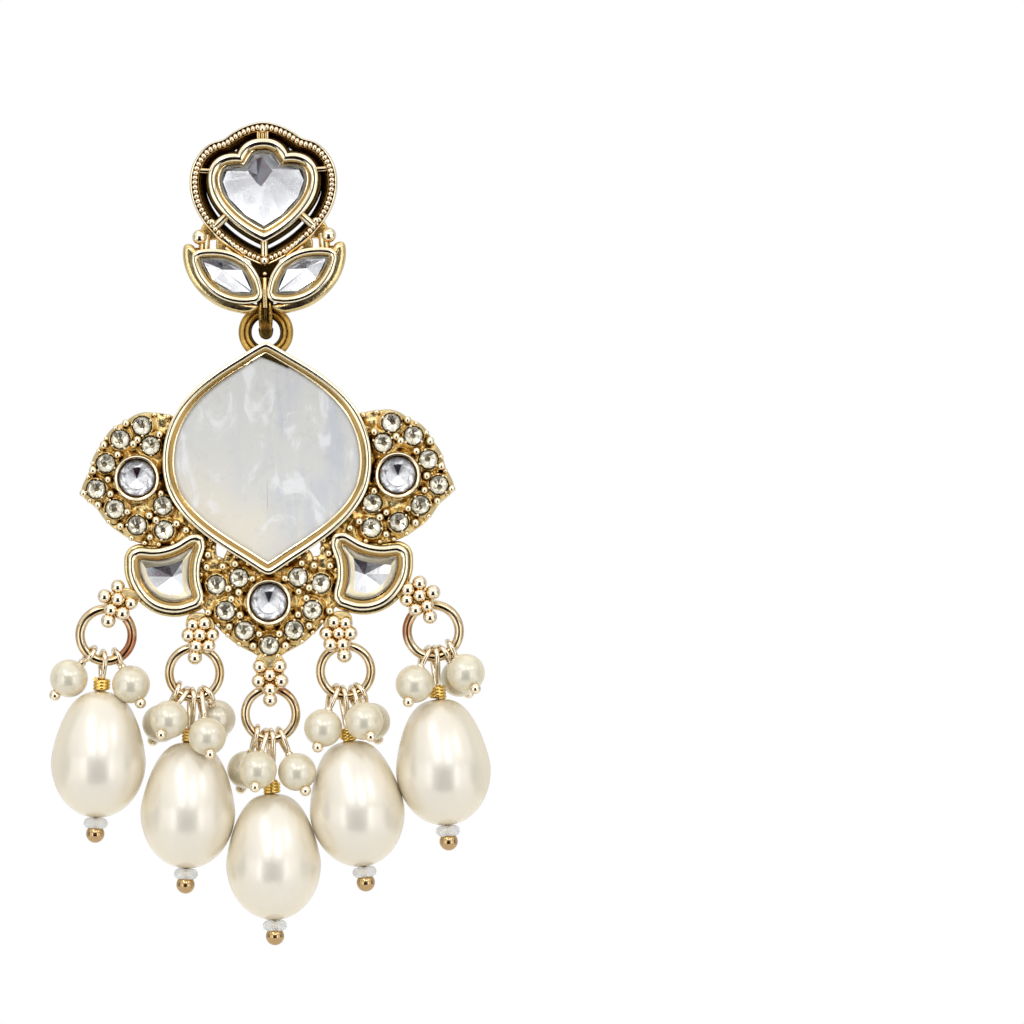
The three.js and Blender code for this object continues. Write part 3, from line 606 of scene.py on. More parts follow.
class PearlSettings(bpy.types.PropertyGroup):
    """Pearls of the drops"""

    body: colour_setting("Body", "Colour of a pearl where it faces the eye", srgb(230, 224, 212))
    # The rim colour is brighter than the body: a painted glow towards the pearl's outline.
    rim: colour_setting("Rim", "Warmer colour towards a pearl's outline", srgb(244, 228, 188))
    small: colour_setting("Small pearls", "Whiter body of the small pearls", srgb(218, 212, 193))
    sheen: share_setting("Sheen", "How metallic the pearl coating looks", 0.3)


class DetailSettings(bpy.types.PropertyGroup):
    """Sizes of the fine work"""

    bead_pitch: length_setting("Bead pitch", "Distance between the beads of the band", 0.5)
    bead_radius: length_setting("Bead width", "Half the width of the beads of the band", 0.33)
    ball_radius: length_setting("Prong ball", "Radius of the balls between the rhinestones", 0.41)
    grain_radius: length_setting("Grain", "Radius of the grains above the jump rings", 0.75)
    net: length_setting("Casting net", "Spacing of the points on the cast plates", 0.13)


class StageSettings(bpy.types.PropertyGroup):
    """Camera, light and floor"""

    distance: bpy.props.FloatProperty(
        name="Camera distance", description="From the earring to the camera", default=1.0, min=0.2,
        subtype="DISTANCE", unit="LENGTH")
    width: length_setting("Picture width", "Width of the picture at the earring", 107.8)
    light: bpy.props.FloatProperty(
        name="Light", description="Brightness of the studio", default=1.0, min=0, max=10, subtype="FACTOR")
    floor_drop: length_setting("Floor drop", "From the lowest ball to the floor", 20)


# ---------------------------------------------------------------- materials

def add_node(tree, kind, inputs=None, **options):
    """Adds a shader node; inputs holds values or the sockets that feed it."""
    made = tree.nodes.new("ShaderNode" + kind)
    for option, value in options.items():
        setattr(made, option, value)
    for socket, value in (inputs or {}).items():
        if isinstance(value, bpy.types.NodeSocket):
            tree.links.new(value, made.inputs[socket])
        else:
            made.inputs[socket].default_value = value
    made.location = (180 * (len(tree.nodes) % 12), -220 * (len(tree.nodes) // 12))
    return made


def fade(tree, value, start, end, low=0.0, high=1.0, kind="SMOOTHSTEP"):
    """Value that goes from low to high while the given one goes from start to end."""
    return add_node(tree, "MapRange", {
        "Value": value, "From Min": start, "From Max": end, "To Min": low, "To Max": high},
        interpolation_type=kind).outputs["Result"]


def blend(tree, factor, first, second):
    """First colour, turning into the second one as the factor goes from 0 to 1."""
    inputs = {"Factor": factor, "A": first, "B": second}
    return add_node(tree, "Mix", inputs, data_type="RGBA").outputs["Result"]


def combine(tree, mode, *values):
    """Values joined one after the other by one kind of sum."""
    total = values[0]
    for value in values[1:]:
        total = add_node(tree, "Math", {0: total, 1: value}, operation=mode).outputs[0]
    return total


def clouds(tree, where, scale, detail=2.0, **more):
    """Soft noise from 0 to 1; more holds further inputs of the texture."""
    inputs = {"Vector": where, "Scale": scale, "Detail": detail, **more}
    return add_node(tree, "TexNoise", inputs).outputs["Fac"]


def mottled(tree, scale, first, second):
    """Two colours that run into each other in soft patches."""
    return blend(tree, clouds(tree, millimetres(tree), scale), rgba(first), rgba(second))


def scaled(tree, colour, factor):
    """Colour made lighter or darker by a factor that changes over the surface."""
    made = add_node(tree, "VectorMath", {0: colour}, operation="SCALE")
    tree.links.new(factor, made.inputs["Scale"])
    return made.outputs[0]


def rgba(colour):
    return (*colour, 1.0)


def new_group(name, inputs, outputs):
    """Empty shader node group with named sockets, its tree and its input node."""
    tree = bpy.data.node_groups.new(name, "ShaderNodeTree")
    for socket, kind, value in inputs:
        made = tree.interface.new_socket(name=socket, in_out="INPUT", socket_type="NodeSocket" + kind)
        made.default_value = value
    for socket, kind in outputs:
        tree.interface.new_socket(name=socket, in_out="OUTPUT", socket_type="NodeSocket" + kind)
    return tree, tree.nodes.new("NodeGroupInput").outputs, tree.nodes.new("NodeGroupOutput").inputs


def millimetres(tree):
    """Object coordinates in millimetres."""
    coordinates = add_node(tree, "TexCoord").outputs["Object"]
    return add_node(tree, "Mapping", {"Vector": coordinates, "Scale": (1 / MM,) * 3}).outputs["Vector"]


def patina_group():
    """Painted shade over tarnish: metal deeper where its form closes in, dark in its crevices, with a cloudy
    edge.
    """
    name = "crevice_patina"
    if name in bpy.data.node_groups:
        return bpy.data.node_groups[name]
    tree, given, out = new_group(name, (
        ("Metal", "Color", (0.8, 0.6, 0.3, 1)), ("Shaded", "Color", (0.6, 0.4, 0.1, 1)),
        ("Crevice", "Color", (0.05, 0.02, 0.01, 1)), ("Reach", "Float", 0.0012), ("Open", "Float", 0.75),
        ("Half", "Float", 0.5), ("Shut", "Float", 0.25)), (("Color", "Color"), ("Mask", "Float")))
    # Ambient occlusion sets the painted shade: the less open a spot, the deeper and then darker its colour.
    shade = add_node(tree, "AmbientOcclusion", {"Distance": given["Reach"]}, samples=6).outputs["AO"]
    drift = fade(tree, clouds(tree, millimetres(tree), 1.7, 3.0), 0.0, 1.0, -0.08, 0.08, "LINEAR")
    level = combine(tree, "ADD", shade, drift)
    mask = fade(tree, level, given["Half"], given["Open"])
    upper = blend(tree, mask, given["Shaded"], given["Metal"])
    shut = fade(tree, level, given["Shut"], given["Half"])
    tree.links.new(blend(tree, shut, given["Crevice"], upper), out["Color"])
    tree.links.new(mask, out["Mask"])
    return tree


def wear_group():
    """Fine handling marks: a roughness that varies, and a height for bump."""
    name = "handling_wear"
    if name in bpy.data.node_groups:
        return bpy.data.node_groups[name]
    tree, given, out = new_group(name, (
        ("Scale", "Float", 1.0), ("Smooth", "Float", 0.06), ("Rough", "Float", 0.16)),
        (("Roughness", "Float"), ("Height", "Float")))
    where = millimetres(tree)
    broad = clouds(tree, where, given["Scale"], 4.0)
    fine = clouds(tree, where, combine(tree, "MULTIPLY", given["Scale"], 5.0))
    rough = fade(tree, broad, 0.35, 0.7, given["Smooth"], given["Rough"], "LINEAR")
    tree.links.new(rough, out["Roughness"])
    tree.links.new(combine(tree, "ADD", broad, fine), out["Height"])
    return tree


def new_material(name, **constants):
    """Material with its Principled shader; constants are set on the shader's own sockets."""
    material = bpy.data.materials.new(name)
    material.use_nodes = True
    tree = material.node_tree
    shader = tree.nodes["Principled BSDF"]
    for socket, value in constants.items():
        shader.inputs[socket.replace("_", " ")].default_value = value
    return material, tree, shader


def place_group(tree, group, inputs):
    made = tree.nodes.new("ShaderNodeGroup")
    made.node_tree = group
    for socket, value in inputs.items():
        made.inputs[socket].default_value = value
    return made


def colour_with(tree, shader, colour):
    tree.links.new(colour, shader.inputs["Base Color"])


def wear(tree, shader, scale, smooth, rough, bump=0.0):
    """Gives a shader its worn roughness, and a fine relief where a bump is given."""
    marks = place_group(tree, wear_group(), {"Scale": scale, "Smooth": smooth, "Rough": rough})
    tree.links.new(marks.outputs["Roughness"], shader.inputs["Roughness"])
    if bump:
        relief_node = add_node(tree, "Bump", {
            "Height": marks.outputs["Height"], "Strength": bump, "Distance": 0.1 * MM})
        tree.links.new(relief_node.outputs["Normal"], shader.inputs["Normal"])


# Plated finishes: the colour setting with the share of it that is used, the same for the painted shade where
# the form closes in, how far in millimetres the painted shade and tarnish of a crevice reach, the levels at
# which it is shut, half open and open, the roughness from smooth to worn, and the strength and scale of the
# relief.
FINISHES = {
    "rim_gold": {"metal": ("champagne", 1.0), "reach": 0.8, "levels": (0.15, 0.5, 0.92), "bump": 0.08},
    "cast_gold": {"metal": ("antique", 1.0), "shaded": ("yellow", 0.86), "reach": 0.8,
                  "levels": (0.3, 0.55, 0.93), "shine": (0.1, 0.2), "bump": 0.3, "grain": 2.2},
    "bail_gold": {"metal": ("bail", 1.0), "shaded": ("bail", 0.55), "reach": 0.8, "levels": (0.2, 0.4, 0.7),
                  "shine": (0.06, 0.14), "bump": 0.3, "grain": 1.6},
    # dark_gold is gold darkened to painted shade, for the ledge, feet, webs, groove, lip and seats that sit
    # in shade.
    "dark_gold": {"metal": ("bail", 0.3), "shaded": ("bail", 0.14), "reach": 1.2, "levels": (0.3, 0.6, 0.95),
                  "shine": (0.25, 0.4), "bump": 0.2},
    # Painted shade: the slopes get a darker copy of the gold, and darker still where they close in.
    "slope_gold": {"metal": ("slope", 1.0), "shaded": ("slope", 0.7), "reach": 0.5,
                   "levels": (0.15, 0.45, 0.7), "shine": (0.12, 0.25), "bump": 0.2},
    "cream_border": {"metal": ("champagne", 1.0), "reach": 0.3, "levels": (0.0, 0.05, 0.1),
                     "shine": (0.28, 0.4), "bump": 0.05},
    "flange_gold": {"metal": ("antique", 1.0), "reach": 0.6, "levels": (0.1, 0.4, 0.8), "shine": (0.15, 0.24),
                    "bump": 0.2},
    "web_gold": {"metal": ("antique", 1.0), "reach": 0.4, "levels": (0.0, 0.1, 0.5), "shine": (0.3, 0.45),
                 "bump": 0.3, "crevice": srgb(140, 100, 44)},
    "grain_metal": {"metal": ("silver", 1.0), "reach": 0.8, "levels": (0.1, 0.4, 0.8), "shine": (0.06, 0.1),
                    "bump": 0.03, "crevice": srgb(96, 66, 34)},
    "wire_metal": {"metal": ("silver", 1.0), "reach": 0.6, "levels": (0.05, 0.3, 0.6), "bump": 0.04},
    "wrap_gold": {"metal": ("wrap", 1.0), "reach": 0.4, "levels": (0.0, 0.2, 0.5), "shine": (0.08, 0.16),
                  "bump": 0.1, "crevice": srgb(150, 108, 44)},
    "ball_gold": {"metal": ("ball", 1.0), "reach": 0.8, "levels": (0.1, 0.4, 0.8), "shine": (0.05, 0.1),
                  "bump": 0.04},
}


def plated(name):
    """One of the plated finishes, with painted shade where its form closes in and in its crevices."""
    if name in bpy.data.materials:
        return bpy.data.materials[name]
    settings = bpy.context.scene.earring_metal
    finish = {"shaded": ("yellow", 1.0), "shine": (POLISH, 0.14), "grain": 1.0, "crevice": settings.crevice}
    finish.update(FINISHES[name])

    def tone(kind):
        setting_name, share = finish[kind]
        return rgba([share * c for c in getattr(settings, setting_name)])

    polish = settings.polish / POLISH
    smooth, rough = finish["shine"]
    shut, half, opened = finish["levels"]
    material, tree, shader = new_material(name, Metallic=1.0)
    patina_and_shade = place_group(tree, patina_group(), {
        "Metal": tone("metal"), "Shaded": tone("shaded"), "Crevice": rgba(finish["crevice"]),
        "Reach": finish["reach"] * MM, "Shut": shut, "Half": half, "Open": opened})
    colour_with(tree, shader, patina_and_shade.outputs["Color"])
    wear(tree, shader, finish["grain"], smooth * polish, rough * polish, finish["bump"])
    return material


def ring_metal():
    """Silver gold, with a coppery tarnish inside the outer rings and at the top of the middle one."""
    if "ring_metal" in bpy.data.materials:
        return bpy.data.materials["ring_metal"]
    settings = bpy.context.scene.earring_metal
    material, tree, shader = new_material("ring_metal", Metallic=1.0)
    where = millimetres(tree)
    x, _, z = add_node(tree, "SeparateXYZ", {0: where}).outputs
    wide = add_node(tree, "Math", {0: x}, operation="ABSOLUTE").outputs[0]
    outer = combine(tree, "MULTIPLY", fade(tree, wide, 16.0, 14.9), fade(tree, wide, 12.0, 12.6))
    middle = combine(tree, "MULTIPLY", fade(tree, x, 0.8, 1.8), fade(tree, wide, 4.2, 3.6),
                     fade(tree, z, -53.2, -51.8))
    patch = combine(tree, "MULTIPLY", combine(tree, "MAXIMUM", outer, middle),
                    fade(tree, clouds(tree, where, 0.5, 3.0), 0.3, 0.55))
    base = mottled(tree, 0.45, settings.silver, settings.bail)
    colour_with(tree, shader, blend(tree, patch, base, rgba(settings.copper)))
    wear(tree, shader, 1.0, 0.05, 0.12, 0.05)
    return material


def glass(name="stone_glass", tint=(1.0, 1.0, 1.0)):
    """Clear cut glass, very slightly cloudy where it was handled."""
    if name in bpy.data.materials:
        return bpy.data.materials[name]
    material, tree, shader = new_material(name, Metallic=0.0, Transmission_Weight=1.0, IOR=1.5)
    colour_with(tree, shader, mottled(tree, 0.5, tint, [0.98 * c for c in tint]))
    wear(tree, shader, 0.8, 0.0, 0.03)
    return material


def seed_glass():
    """Pale pressed glass: part clear, part milky."""
    if "seed_glass" in bpy.data.materials:
        return bpy.data.materials["seed_glass"]
    material, tree, shader = new_material("seed_glass", Metallic=0.0, Transmission_Weight=0.6, IOR=1.4)
    colour_with(tree, shader, mottled(tree, 0.8, srgb(255, 255, 253), srgb(243, 243, 241)))
    wear(tree, shader, 0.8, 0.1, 0.2)
    return material


def foil(name, colour, metallic=0.8, smooth=0.08, rough=0.18, dark=None):
    """Silvered back of a stone, faintly mottled; marked facets get a painted dark reflection with plum
    flecks.
    """
    if name in bpy.data.materials:
        return bpy.data.materials[name]
    settings = bpy.context.scene.earring_stones
    material, tree, shader = new_material(name, Metallic=metallic)
    tint = mottled(tree, 0.35, colour, [0.93 * c for c in colour])
    fleck = fade(tree, clouds(tree, millimetres(tree), 1.1, 1.0), 0.5, 0.57, kind="LINEAR")
    dusk = blend(tree, fleck, rgba(dark or settings.dusk), rgba(dark or settings.plum))
    # The face attribute chooses where the painted dark reflection replaces the foil's colour.
    facet = add_node(tree, "Attribute", attribute_name="dusk").outputs["Fac"]
    colour_with(tree, shader, blend(tree, facet, tint, dusk))
    wear(tree, shader, 0.7, smooth, rough, 0.05)
    return material


def soft_foil():
    return foil("soft_foil", bpy.context.scene.earring_stones.foil, 0.7, 0.22, 0.32)


def mother_of_pearl():
    """Polished shell: milky, with cool upright wisps, a warm edge and bright curls."""
    settings = bpy.context.scene.earring_stones
    material, tree, shader = new_material("mother_of_pearl", Coat_Weight=0.3, Coat_Roughness=0.08)
    where = millimetres(tree)

    def wisps(lean, wide, long, seed, distortion, low, high):
        leaning = add_node(tree, "Mapping", {
            "Vector": where, "Location": (seed, 0, seed), "Rotation": (0, math.radians(lean), 0),
            "Scale": (wide, wide, long)}).outputs["Vector"]
        return fade(tree, clouds(tree, leaning, 1.0, 5.0, Roughness=0.6, Distortion=distortion), low, high)

    x, _, z = add_node(tree, "SeparateXYZ", {0: where}).outputs
    cool = combine(tree, "MULTIPLY", wisps(8, 0.3, 0.06, 3.0, 0.8, 0.4, 0.62), fade(tree, x, -5.0, 2.0))
    colour = blend(tree, cool, rgba(settings.shell), rgba(settings.shell_cool))
    slant = add_node(tree, "Math", {0: x, 1: 0.7, 2: z}, operation="MULTIPLY_ADD").outputs[0]
    slant = add_node(tree, "Math", {0: clouds(tree, where, 0.14, 3.0), 1: 14.0, 2: slant},
                     operation="MULTIPLY_ADD").outputs[0]
    colour = blend(tree, fade(tree, slant, -22.0, -34.0), colour, rgba(settings.shell_warm))
    for mask, strength in ((wisps(-30, 0.22, 0.12, 11.0, 2.2, 0.53, 0.66), 0.75),
                           (wisps(14, 1.6, 0.1, 7.0, 0.3, 0.62, 0.7), 0.35)):
        curls = combine(tree, "MULTIPLY", mask, strength)
        colour = blend(tree, curls, colour, rgba(settings.shell_bright))
    # The shell's colour is scaled darker towards its top.
    colour_with(tree, shader, scaled(tree, colour, fade(tree, z, -17.0, -38.0, 0.84, 1.04, "LINEAR")))
    wear(tree, shader, 0.6, 0.25, 0.4)
    return material


def pearl(name, colour):
    """Pearl coating: a soft metallic sheen; warmer towards the outline, and brighter there as a painted glow.
    """
    settings = bpy.context.scene.earring_pearls
    material, tree, shader = new_material(
        name, Metallic=settings.sheen, Coat_Weight=0.8, Coat_Roughness=0.17, Coat_IOR=1.6)
    # Towards the outline the colour turns warmer and brighter: painted glow.
    facing = add_node(tree, "LayerWeight", {"Blend": 0.42}).outputs["Facing"]
    tint = blend(tree, facing, rgba(colour), rgba(settings.rim))
    patch = fade(tree, clouds(tree, millimetres(tree), 0.16), 0.0, 1.0, 0.94, 1.04, "LINEAR")
    colour_with(tree, shader, scaled(tree, tint, patch))
    wear(tree, shader, 0.25, 0.28, 0.34)
    return material


def floor_paper():
    material, tree, shader = new_material("floor_paper", Roughness=0.8)
    colour_with(tree, shader, mottled(tree, 0.02, srgb(240, 240, 240), srgb(248, 248, 248)))
    return material


# ---------------------------------------------------------------- the stud

SIDES = (("left", -1, mirrored), ("right", 1, lambda shape: shape))
SHOULDER_WEBS = (
    ((1.9, -5.9), (4.6, -4.1), (5.0, -4.6), (4.9, -6.2), (2.4, -7.3)),
    ((5.0, -3.2), (5.9, -2.6), (6.6, -3.4), (6.7, -4.6), (5.7, -4.75), (4.9, -4.6), (4.3, -4.1)),
)
SHOULDER_BARS = (
    ((6.25, -4.2), (6.35, -5.9), 0.6), ((2.6, -6.6), (7.3, -5.9), 0.42), ((2.2, -6.4), (4.3, -4.6), 0.5),
    ((2.7, -7.0), (4.2, -5.7), 0.5),
)
KEEL = ((0, -2.7, -8.9), (0, -2.95, -9.6), (0, -3.0, -10.7), (0, -2.7, -11.9))
KEEL_WEBS = (
    (((-1.7, -6.6), (1.7, -6.6), (0.85, -8.8), (-0.85, -8.8)), -0.6, -1.9),
    (((-0.75, -8.7), (0.75, -8.7), (0.9, -12.0), (-0.9, -12.0)), -1.94, -2.4),
)
BAIL_FOOT = ((-0.7, 0), (-0.72, -0.6), (-0.5, -1.05), (0, -1.25), (0.5, -1.05), (0.72, -0.6), (0.7, 0))


def heart_shape():
    return curved(HEART, (3, 4, 5), symmetric=True)


def leaf_shape():
    return rounded(curved(LEAF, (6, 6)), 0.5)


class StudBand(bpy.types.Operator):
    """Beaded band round the heart, between two smooth rails, on an inner ledge in dark gold as painted shade
    """

    bl_idname = "earring.stud_band"
    bl_label = "Beaded band"

    def execute(self, context):
        detail = context.scene.earring_detail
        shape = curved(BAND, (3, 4, 5), symmetric=True)
        outer, inner = offset(shape, 0.6), offset(shape, -0.42)
        trough, rail = BAND_FRONT + 0.14, BAND_FRONT - 0.02
        profile = [(0, BAND_BACK), (0, trough + 0.2), (0.03, rail + 0.16), (0.08, rail + 0.04), (0.14, rail),
                   (0.2, rail + 0.02), (0.25, rail + 0.1), (0.29, trough), (0.82, trough), (0.85, rail + 0.1),
                   (0.9, rail + 0.04), (0.96, rail + 0.1), (1, trough + 0.1), (1, BAND_BACK)]
        ledge_back = BAND_BACK - 0.05
        ledge = [(0.9, -1.5), (1.35, -1.2), (1.6, -0.6), (1.6, ledge_back), (0.9, ledge_back)]
        line = evenly(smooth_line(offset(shape, 0.03)), detail.bead_pitch / MM)
        ahead = unit(np.roll(line, -1, 0) - np.roll(line, 1, 0))
        wide, long, deep = detail.bead_radius / MM, 0.54 * detail.bead_pitch / MM, 0.26
        bead_points, bead_faces = ball(1, (0, 0, 0), 2)
        beads = []
        for (x, z), (run, rise) in zip(line, ahead):
            turn = np.array(((long * run, 0, -wide * rise), (0, deep, 0), (long * rise, 0, wide * run)))
            beads.append((bead_points @ turn.T + (x, trough - 0.08, z), bead_faces))
        beads.append(ball(0.44, (0, BAND_FRONT, 6.85)))
        beads += [ball(0.38, (side * 5.45, BAND_FRONT, -2.85)) for side in (-1, 1)]
        beads.append(ball(0.48, (0, -2.6, -7.0)))
        band = skin(across(outer, inner, profile), closed=True)
        floor = skin(across(outer, inner, ledge), closed=True)
        add_gold("stud", "beaded_band", [band], "rim_gold", ["stud_frame"])
        add_gold("stud", "band_ledge", [floor], "dark_gold")
        add_gold("stud", "band_beads", beads, "grain_metal")
        return {"FINISHED"}


class HeartSetting(bpy.types.Operator):
    """Cup of the heart stone, its dark foot of painted shade and the bridges that carry it inside the band"""

    bl_idname = "earring.heart_setting"
    bl_label = "Heart setting"

    def execute(self, context):
        heart, size = heart_shape(), CUPS["heart"]
        spans = [((x, 5.5), (x, 6.8), 0.24) for x in (-0.42, 0, 0.42)]
        spans.append(((0, -4.7), (0, -6.8), 0.4))
        for side in (-1, 1):
            spans.append(((side * 5.4, 2.5), (side * 7.0, 2.6), 0.32))
            spans.append(((side * 3.9, -2.2), (side * 5.3, -3.5), 0.48))
        bridges, depth = [], -1.95
        for (x1, z1), (x2, z2), thick in spans:
            steps = np.linspace(0, 1, 7)[:, None]
            path = np.array((x1, depth, z1)) * (1 - steps) + np.array((x2, depth, z2)) * steps
            bridges.append(wire(path, thick, 12))
        foot = pillow(offset(heart, 0.4), -0.25, -1.15, 0.35)
        add_gold("stud", "heart_setting", [cup(heart, size)], "rim_gold", ["stud_frame"])
        add_gold("stud", "heart_slope", [liner(heart, size)], "slope_gold")
        add_gold("stud", "heart_inner_line", [inner_line(heart, 1.08, -2.94, 0.12)], "rim_gold")
        add_gold("stud", "heart_foot", [foot], "dark_gold")
        add_gold("stud", "heart_bridges", bridges, "rim_gold")
        return {"FINISHED"}


class LeafSettings(bpy.types.Operator):
    """Two leaf cups on their flanges, the keel between them and the shoulders with their balls"""

    bl_idname = "earring.leaf_settings"
    bl_label = "Leaf settings"

    def execute(self, context):
        size = CUPS["leaf"]
        leaf = offset(leaf_shape(), size["wall"])
        flange = curved(LEAF_FLANGE, (7, 1, 4, 4))
        balls = [ball(0.27, (0, -2.2, -8.4))]
        for side, sign, turned_to in SIDES:
            plate = pillow(turned_to(flange), -1.98, -2.95, 0.6)
            webs = [pillow(turned_to(outline(web, FEW_CORNERS)), -1.0, -1.95, 0.2) for web in SHOULDER_WEBS]
            add_gold("stud", f"leaf_setting_{side}", [cup(turned_to(leaf), size)], "rim_gold")
            add_gold("stud", f"leaf_slope_{side}", [liner(turned_to(leaf), size)], "slope_gold")
            add_gold("stud", f"leaf_flange_{side}", [plate], "flange_gold")
            add_gold("stud", f"leaf_shoulder_{side}", webs, "cast_gold")
            balls.append(ball(0.8, (sign * 6.78, -2.3, -4.42)))
            for (x1, z1), (x2, z2), thick in SHOULDER_BARS:
                balls.append(wire([(sign * x1, -1.9, z1), (sign * x2, -2.0, z2)], thick, 14))
        keel_webs = [pillow(outline(web, FEW_CORNERS), back, front, 0.2) for web, back, front in KEEL_WEBS]
        # The keel webs in dark gold are painted shade between the leaves.
        add_gold("stud", "leaf_keel_web", keel_webs, "dark_gold")
        add_gold("stud", "leaf_keel", [wire(KEEL, 0.27, 12)], "cast_gold")
        add_gold("stud", "stud_balls", balls, "rim_gold")
        return {"FINISHED"}


class BailAndPost(bpy.types.Operator):
    """Loop that carries the pendant, grooved in front, and the ear post"""

    bl_idname = "earring.bail_and_post"
    bl_label = "Bail and ear post"

    def execute(self, context):
        inner, wall, foot, half_width = 1.05, 0.85, 1.45, 0.74
        section = ((-1, 0), (-1, 0.6), (-0.93, 0.88), (-0.78, 1), (-0.6, 0.97), (-0.42, 0.72), (0, 0.5),
                   (0.42, 0.72), (0.6, 0.97), (0.78, 1), (0.93, 0.88), (1, 0.6), (1, 0))

        def thickness(turn):
            return wall + (foot - wall) * max(0, -math.sin(turn)) ** 2

        def on_bail(x, reach, turn):
            return (x, RING_PLANE + reach * math.cos(turn), HINGE.z + reach * math.sin(turn))

        rows = []
        for turn in np.arange(48) * math.tau / 48:
            front = max(0, -math.cos(turn)) ** 0.7
            waist = 1 - 0.3 * max(0, math.sin(turn)) ** 1.5 - 0.15 * max(0, -math.sin(turn)) ** 6
            row = []
            for side, up in section:
                reach = up if abs(side) > 0.6 else front * up + (1 - front) * (1 - 0.05 * abs(side))
                row.append(on_bail(half_width * waist * side, inner + thickness(turn) * reach, turn))
            rows.append(row)
        groove = [on_bail(0, inner + 0.5 * thickness(turn), turn)
                  for turn in np.linspace(math.pi * 0.82, math.pi * 1.22, 14)]
        tip, corners = outline(BAIL_FOOT, 89)
        tip = (tip + (0, HINGE.z - 1.8), corners)
        pin = [(0, -0.05), (0.9, -0.05), (0.9, 0.18), (0.6, 0.3), (0.43, 0.45), (0.43, 9.2), (0.36, 9.4),
               (0.36, 9.7), (0.43, 9.9), (0.43, 10.7), (0.26, 11), (0, 11)]
        add_gold("stud", "bail", [skin(rows, closed=True)], "bail_gold")
        # The groove's wire and the bail's foot in dark gold are painted shade.
        add_gold("stud", "bail_groove", [wire(groove, 0.27, 12)], "dark_gold")
        add_gold("stud", "bail_foot", [pillow(tip, -0.35, -1.75, 0.3)], "dark_gold")
        add_gold("stud", "ear_post", [turned(pin, 32, axis="y")], "wire_metal")
        return {"FINISHED"}


# ---------------------------------------------------------------- the castings of the pendant

DARK_PATCH = ((-0.95, -2.5), (0, -1.9), (2.6, -3.45), (2.35, -3.85), (0.7, -3.1))


def diamond_shape():
    return rounded(curved(DIAMOND, (6, 6), symmetric=True), 0.6)


def crescent_shape():
    return rounded(curved(CRESCENT, (4, 6, 4)), 0.3)


def plate_height(stones, seed):
    """Height of a cast plate: rounded edge, a seat and collar for each stone and a rough skin between."""

    def grain(x, z, fine):
        return noise.noise(Vector((x * fine, z * fine, seed)))

    def height(points, inside):
        edge = np.clip(inside / 0.45, 0, 1)
        lift = 0.5 * np.sqrt(np.clip(1 - (1 - edge) ** 2, 0, 1)) - 0.5
        near = np.full(len(points), 9.0)
        for x, z, radius in stones:
            away = np.hypot(points[:, 0] - x, points[:, 1] - z) - radius
            near = np.minimum(near, np.abs(away))
            lift += 0.2 * np.exp(-((away - 0.16) / 0.1) ** 2) * edge
            lift -= 0.5 * (away < 0.02)
        rough = np.array([0.2 * grain(x, z, 1.1) + 0.1 * grain(x, z, 2.4) for x, z in points])
        between_seats = np.clip((near - 0.25) / 0.35, 0, 1)
        within = np.clip(inside / 0.3, 0, 1)
        lift += (rough - 0.28 * between_seats) * within * (0.15 + 0.85 * between_seats)
        return PLATE_FRONT - lift

    return height


def seat_rings(stones):
    """Extra net points round each stone, so that its seat is round."""
    return np.vstack([
        circle(x, z, radius + away, 36)
        for x, z, radius in stones for away in (-0.1, 0.0, 0.05, 0.13, 0.21, 0.3)])


def scalloped(border, stones):
    """Edge of a cast plate that swells beside each stone."""
    away = np.min([np.hypot(border[:, 0] - x, border[:, 1] - z) for x, z, _ in stones], 0)
    return border + outward(border) * (0.26 * np.exp(-((away - 1.1) / 0.5) ** 2) - 0.1)[:, None]


def flipped(places):
    return [(-x, z) for x, z in places]


def both(places):
    """Places of the right half with the left ones after them; those on the middle line come once."""
    return [*places, *flipped([place for place in places if place[0]])]


def plates():
    """Border, rhinestones [x, z, radius], large stone [x, z] and prong balls of the wings and the fan."""
    half = np.array(FAN_HALF)
    wing = outline(WING, FEW_CORNERS)
    fan = outline(np.vstack([half, half[-2:0:-1] * (-1, 1)]), FEW_CORNERS)
    found = {
        "wing_left": (mirrored(wing), flipped(WING_RHINESTONES), *flipped([WING_ROUND]), flipped(WING_BALLS)),
        "wing_right": (wing, WING_RHINESTONES, WING_ROUND, WING_BALLS),
        "fan": (fan, both(FAN_RHINESTONES), FAN_ROUND, both(FAN_BALLS)),
    }
    made = {}
    for name, (shape, places, large, balls) in found.items():
        stones = [(x, z, RHINESTONE) for x, z in places]
        made[name] = (scalloped(smooth_line(shape, 9), stones), stones, large, balls)
    return made


def round_places():
    return {"left": flipped([WING_ROUND])[0], "right": WING_ROUND, "bottom": FAN_ROUND}


class DiamondRim(bpy.types.Operator):
    """Cup of the mother-of-pearl diamond, its sloping inside and a dark gold patch at its top"""

    bl_idname = "earring.diamond_rim"
    bl_label = "Diamond rim"

    def execute(self, context):
        shape, size = offset(diamond_shape(), 0.12), CUPS["diamond"]
        # A small dark gold patch sits under the top of the rim.
        cement = pillow(outline(DARK_PATCH, FEW_CORNERS), -2.6, -2.92, 0.08)
        add_gold("pendant", "diamond_rim", [cup(shape, size)], "rim_gold", ["pendant_frame"])
        add_gold("pendant", "diamond_slope", [liner(shape, size)], "slope_gold")
        add_gold("pendant", "diamond_inner_line", [inner_line(shape, 1.1, -2.82, 0.13)], "rim_gold")
        add_gold("pendant", "cement", [cement], "dark_gold")
        return {"FINISHED"}


